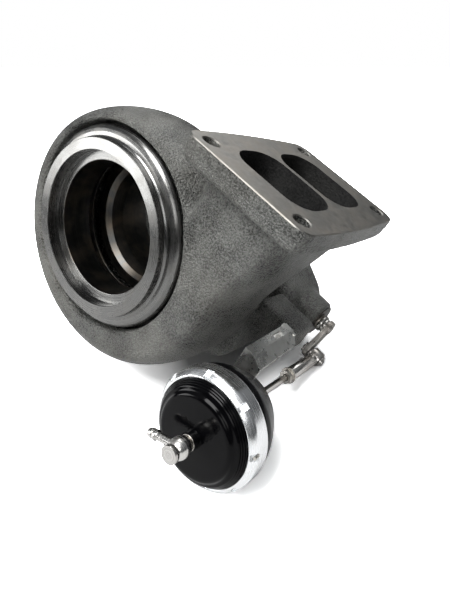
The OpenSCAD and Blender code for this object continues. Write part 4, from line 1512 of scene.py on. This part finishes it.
@dataclass
class Studio:
    """Floor, background, lights and camera.

    Args:
        focal_px: Focal length in pixels of the 600 pixel side.
        middle_px: Where the optical axis meets the picture.
        eye_mm: Place of the camera.
        floor_gain: Whiteness of the floor as the camera sees it.
        floor_grey: The floor's colour for every other ray.
        painted_shadow_spot: Floor point between volute and actuator around which a shadow is painted into the
            floor's colour for the camera.
        painted_shadow_grey: The floor's painted shadow colour there.
        painted_shadow_reach: Distances from it where the painted shadow starts and ends to fade to the
            floor's white, in metres.
        white_reach: Distances from the floor's middle where it starts and ends to fade to white.
        room: Strength of the room's light from the horizon up to overhead.
    """

    focal_px: float = 465.98
    middle_px: tuple[float, float] = (305.40, 248.80)
    eye_mm: Triple = (237.226, -227.367, 213.627)
    floor_gain: float = 2.3
    floor_grey: float = 0.6
    painted_shadow_spot: Triple = (0.097, 0.116, -0.091)
    painted_shadow_grey: float = 0.3
    painted_shadow_reach: tuple[float, float] = (0.035, 0.085)
    white_reach: tuple[float, float] = (0.12, 0.28)
    room: tuple[float, float] = (0.05, 0.34)

    def floor(self) -> None:
        """A plain pale floor under the object's lowest point, seen only from above, with a shadow painted
        into its colour near one spot.
        """
        lows = []
        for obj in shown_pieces():
            co = np.empty(len(obj.data.vertices) * 3)
            obj.data.vertices.foreach_get("co", co)
            lows.append((co.reshape(-1, 3) @ SKY).min())
        up = SKY / np.linalg.norm(SKY)
        side = np.cross(up, AHEAD)
        side /= np.linalg.norm(side)
        ahead = np.cross(up, side)
        gap, reach = 0.0002, 4.0
        centre = MIDDLE + up * (min(lows) / np.linalg.norm(SKY) - gap - MIDDLE @ up)
        verts = [(centre + reach * (a * side + b * ahead)).tolist()
                 for a, b in ((-1, -1), (1, -1), (1, 1), (-1, 1))]
        mesh = bpy.data.meshes.new("Floor")
        mesh.from_pydata(verts, [], [[0, 1, 2, 3]])
        if mesh.polygons[0].normal.dot(up) < 0:
            mesh.flip_normals()
        mesh.materials.append(self.floor_white(tuple(centre)))
        shown("Floor", mesh)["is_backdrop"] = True

    def floor_white(self, centre: Triple) -> Material:
        """The floor's finish: white far off, with the object's shadow kept near it and a painted shadow
        around one spot, and clear from below.

        Args:
            centre: The floor's middle.

        Returns:
            The material.
        """
        tree = Tree(bpy.data.materials.new("FloorWhite"))
        seen = tree.add("ShaderNodeLightPath").outputs["Is Camera Ray"]
        # Painted shadow: near one floor point the camera sees a dark grey floor colour, which fades out to
        # the white gain
        past_painted_shadow = tree.span(tree.vector("DISTANCE", tree.place, self.painted_shadow_spot), *self.painted_shadow_reach, 0.0, 1.0)
        pale = tree.blend(past_painted_shadow, (self.painted_shadow_grey,) * 3, (self.floor_gain,) * 3)
        diffuse = tree.add("ShaderNodeBsdfDiffuse", Color=tree.blend(seen, (self.floor_grey,) * 3, pale))
        far = tree.span(tree.vector("DISTANCE", tree.place, centre), *self.white_reach, 0.0, 1.0)
        glow = tree.add("ShaderNodeEmission", Color=WHITE, Strength=tree.math("MULTIPLY", seen, far))
        both = tree.add("ShaderNodeAddShader")
        for socket, shader in zip(both.inputs, (diffuse, glow)):
            tree.links.new(shader.outputs[0], socket)
        below = tree.add("ShaderNodeNewGeometry").outputs["Backfacing"]
        return tree.end(tree.pick(below, both, tree.add("ShaderNodeBsdfTransparent")))

    def world(self) -> None:
        """A white background for the camera and a soft grey room for everything else."""
        tree = Tree(bpy.data.worlds.new("Room"))
        height = tree.vector("DOT_PRODUCT", tree.add("ShaderNodeTexCoord").outputs["Generated"], tuple(SKY))
        room = tree.add("ShaderNodeBackground", Color=(0.94, 0.97, 1.0),
                        Strength=tree.span(height, 0.0, 0.95, *self.room))
        seen = tree.add("ShaderNodeLightPath").outputs["Is Camera Ray"]
        white = tree.add("ShaderNodeBackground", Color=WHITE)
        bpy.context.scene.world = tree.end(tree.pick(seen, room, white))

    def camera(self) -> None:
        """The camera at the photograph's place, with its shifted frame."""
        lens = bpy.data.cameras.new("Camera")
        lens.sensor_width = 36.0
        width, height = PICTURE
        lens.lens = lens.sensor_width * self.focal_px / height
        lens.shift_x = (0.5 * width - self.middle_px[0]) / height
        lens.shift_y = (self.middle_px[1] - 0.5 * height) / height
        lens.clip_start = 0.01
        axes = np.stack([RIGHT, -DOWN, -AHEAD], 1)
        bpy.context.scene.camera = stand(shown("Camera", lens), axes, np.array(self.eye_mm) * MM)

    def build(self) -> None:
        """Builds the studio around the object."""
        self.floor()
        self.world()
        for light in (
            SoftLight("Key", -0.3, 0.85, 1.0, 0.7, 26.0),
            SoftLight("Top", 0.2, 1.3, -0.2, 1.1, 13.0),
            SoftLight("Left", -1.2, 0.2, 0.3, 0.5, 7.0),
            SoftLight("Low", 0.1, 0.15, 1.3, 0.5, 3.0),
        ):
            light.build()
        self.camera()
        bpy.context.scene.view_settings.view_transform = "Standard"


def main() -> None:
    """Builds the object and its studio."""
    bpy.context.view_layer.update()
    LOG.info("casting %s", Casting().build().name)
    for piece in Actuator().build():
        LOG.info("piece %s with %d faces", piece.name, len(piece.data.polygons))
    for kept in kept_nodes():
        LOG.info("node %s", kept.build().name)
    Studio().build()


if __name__ == "__main__":
    main()
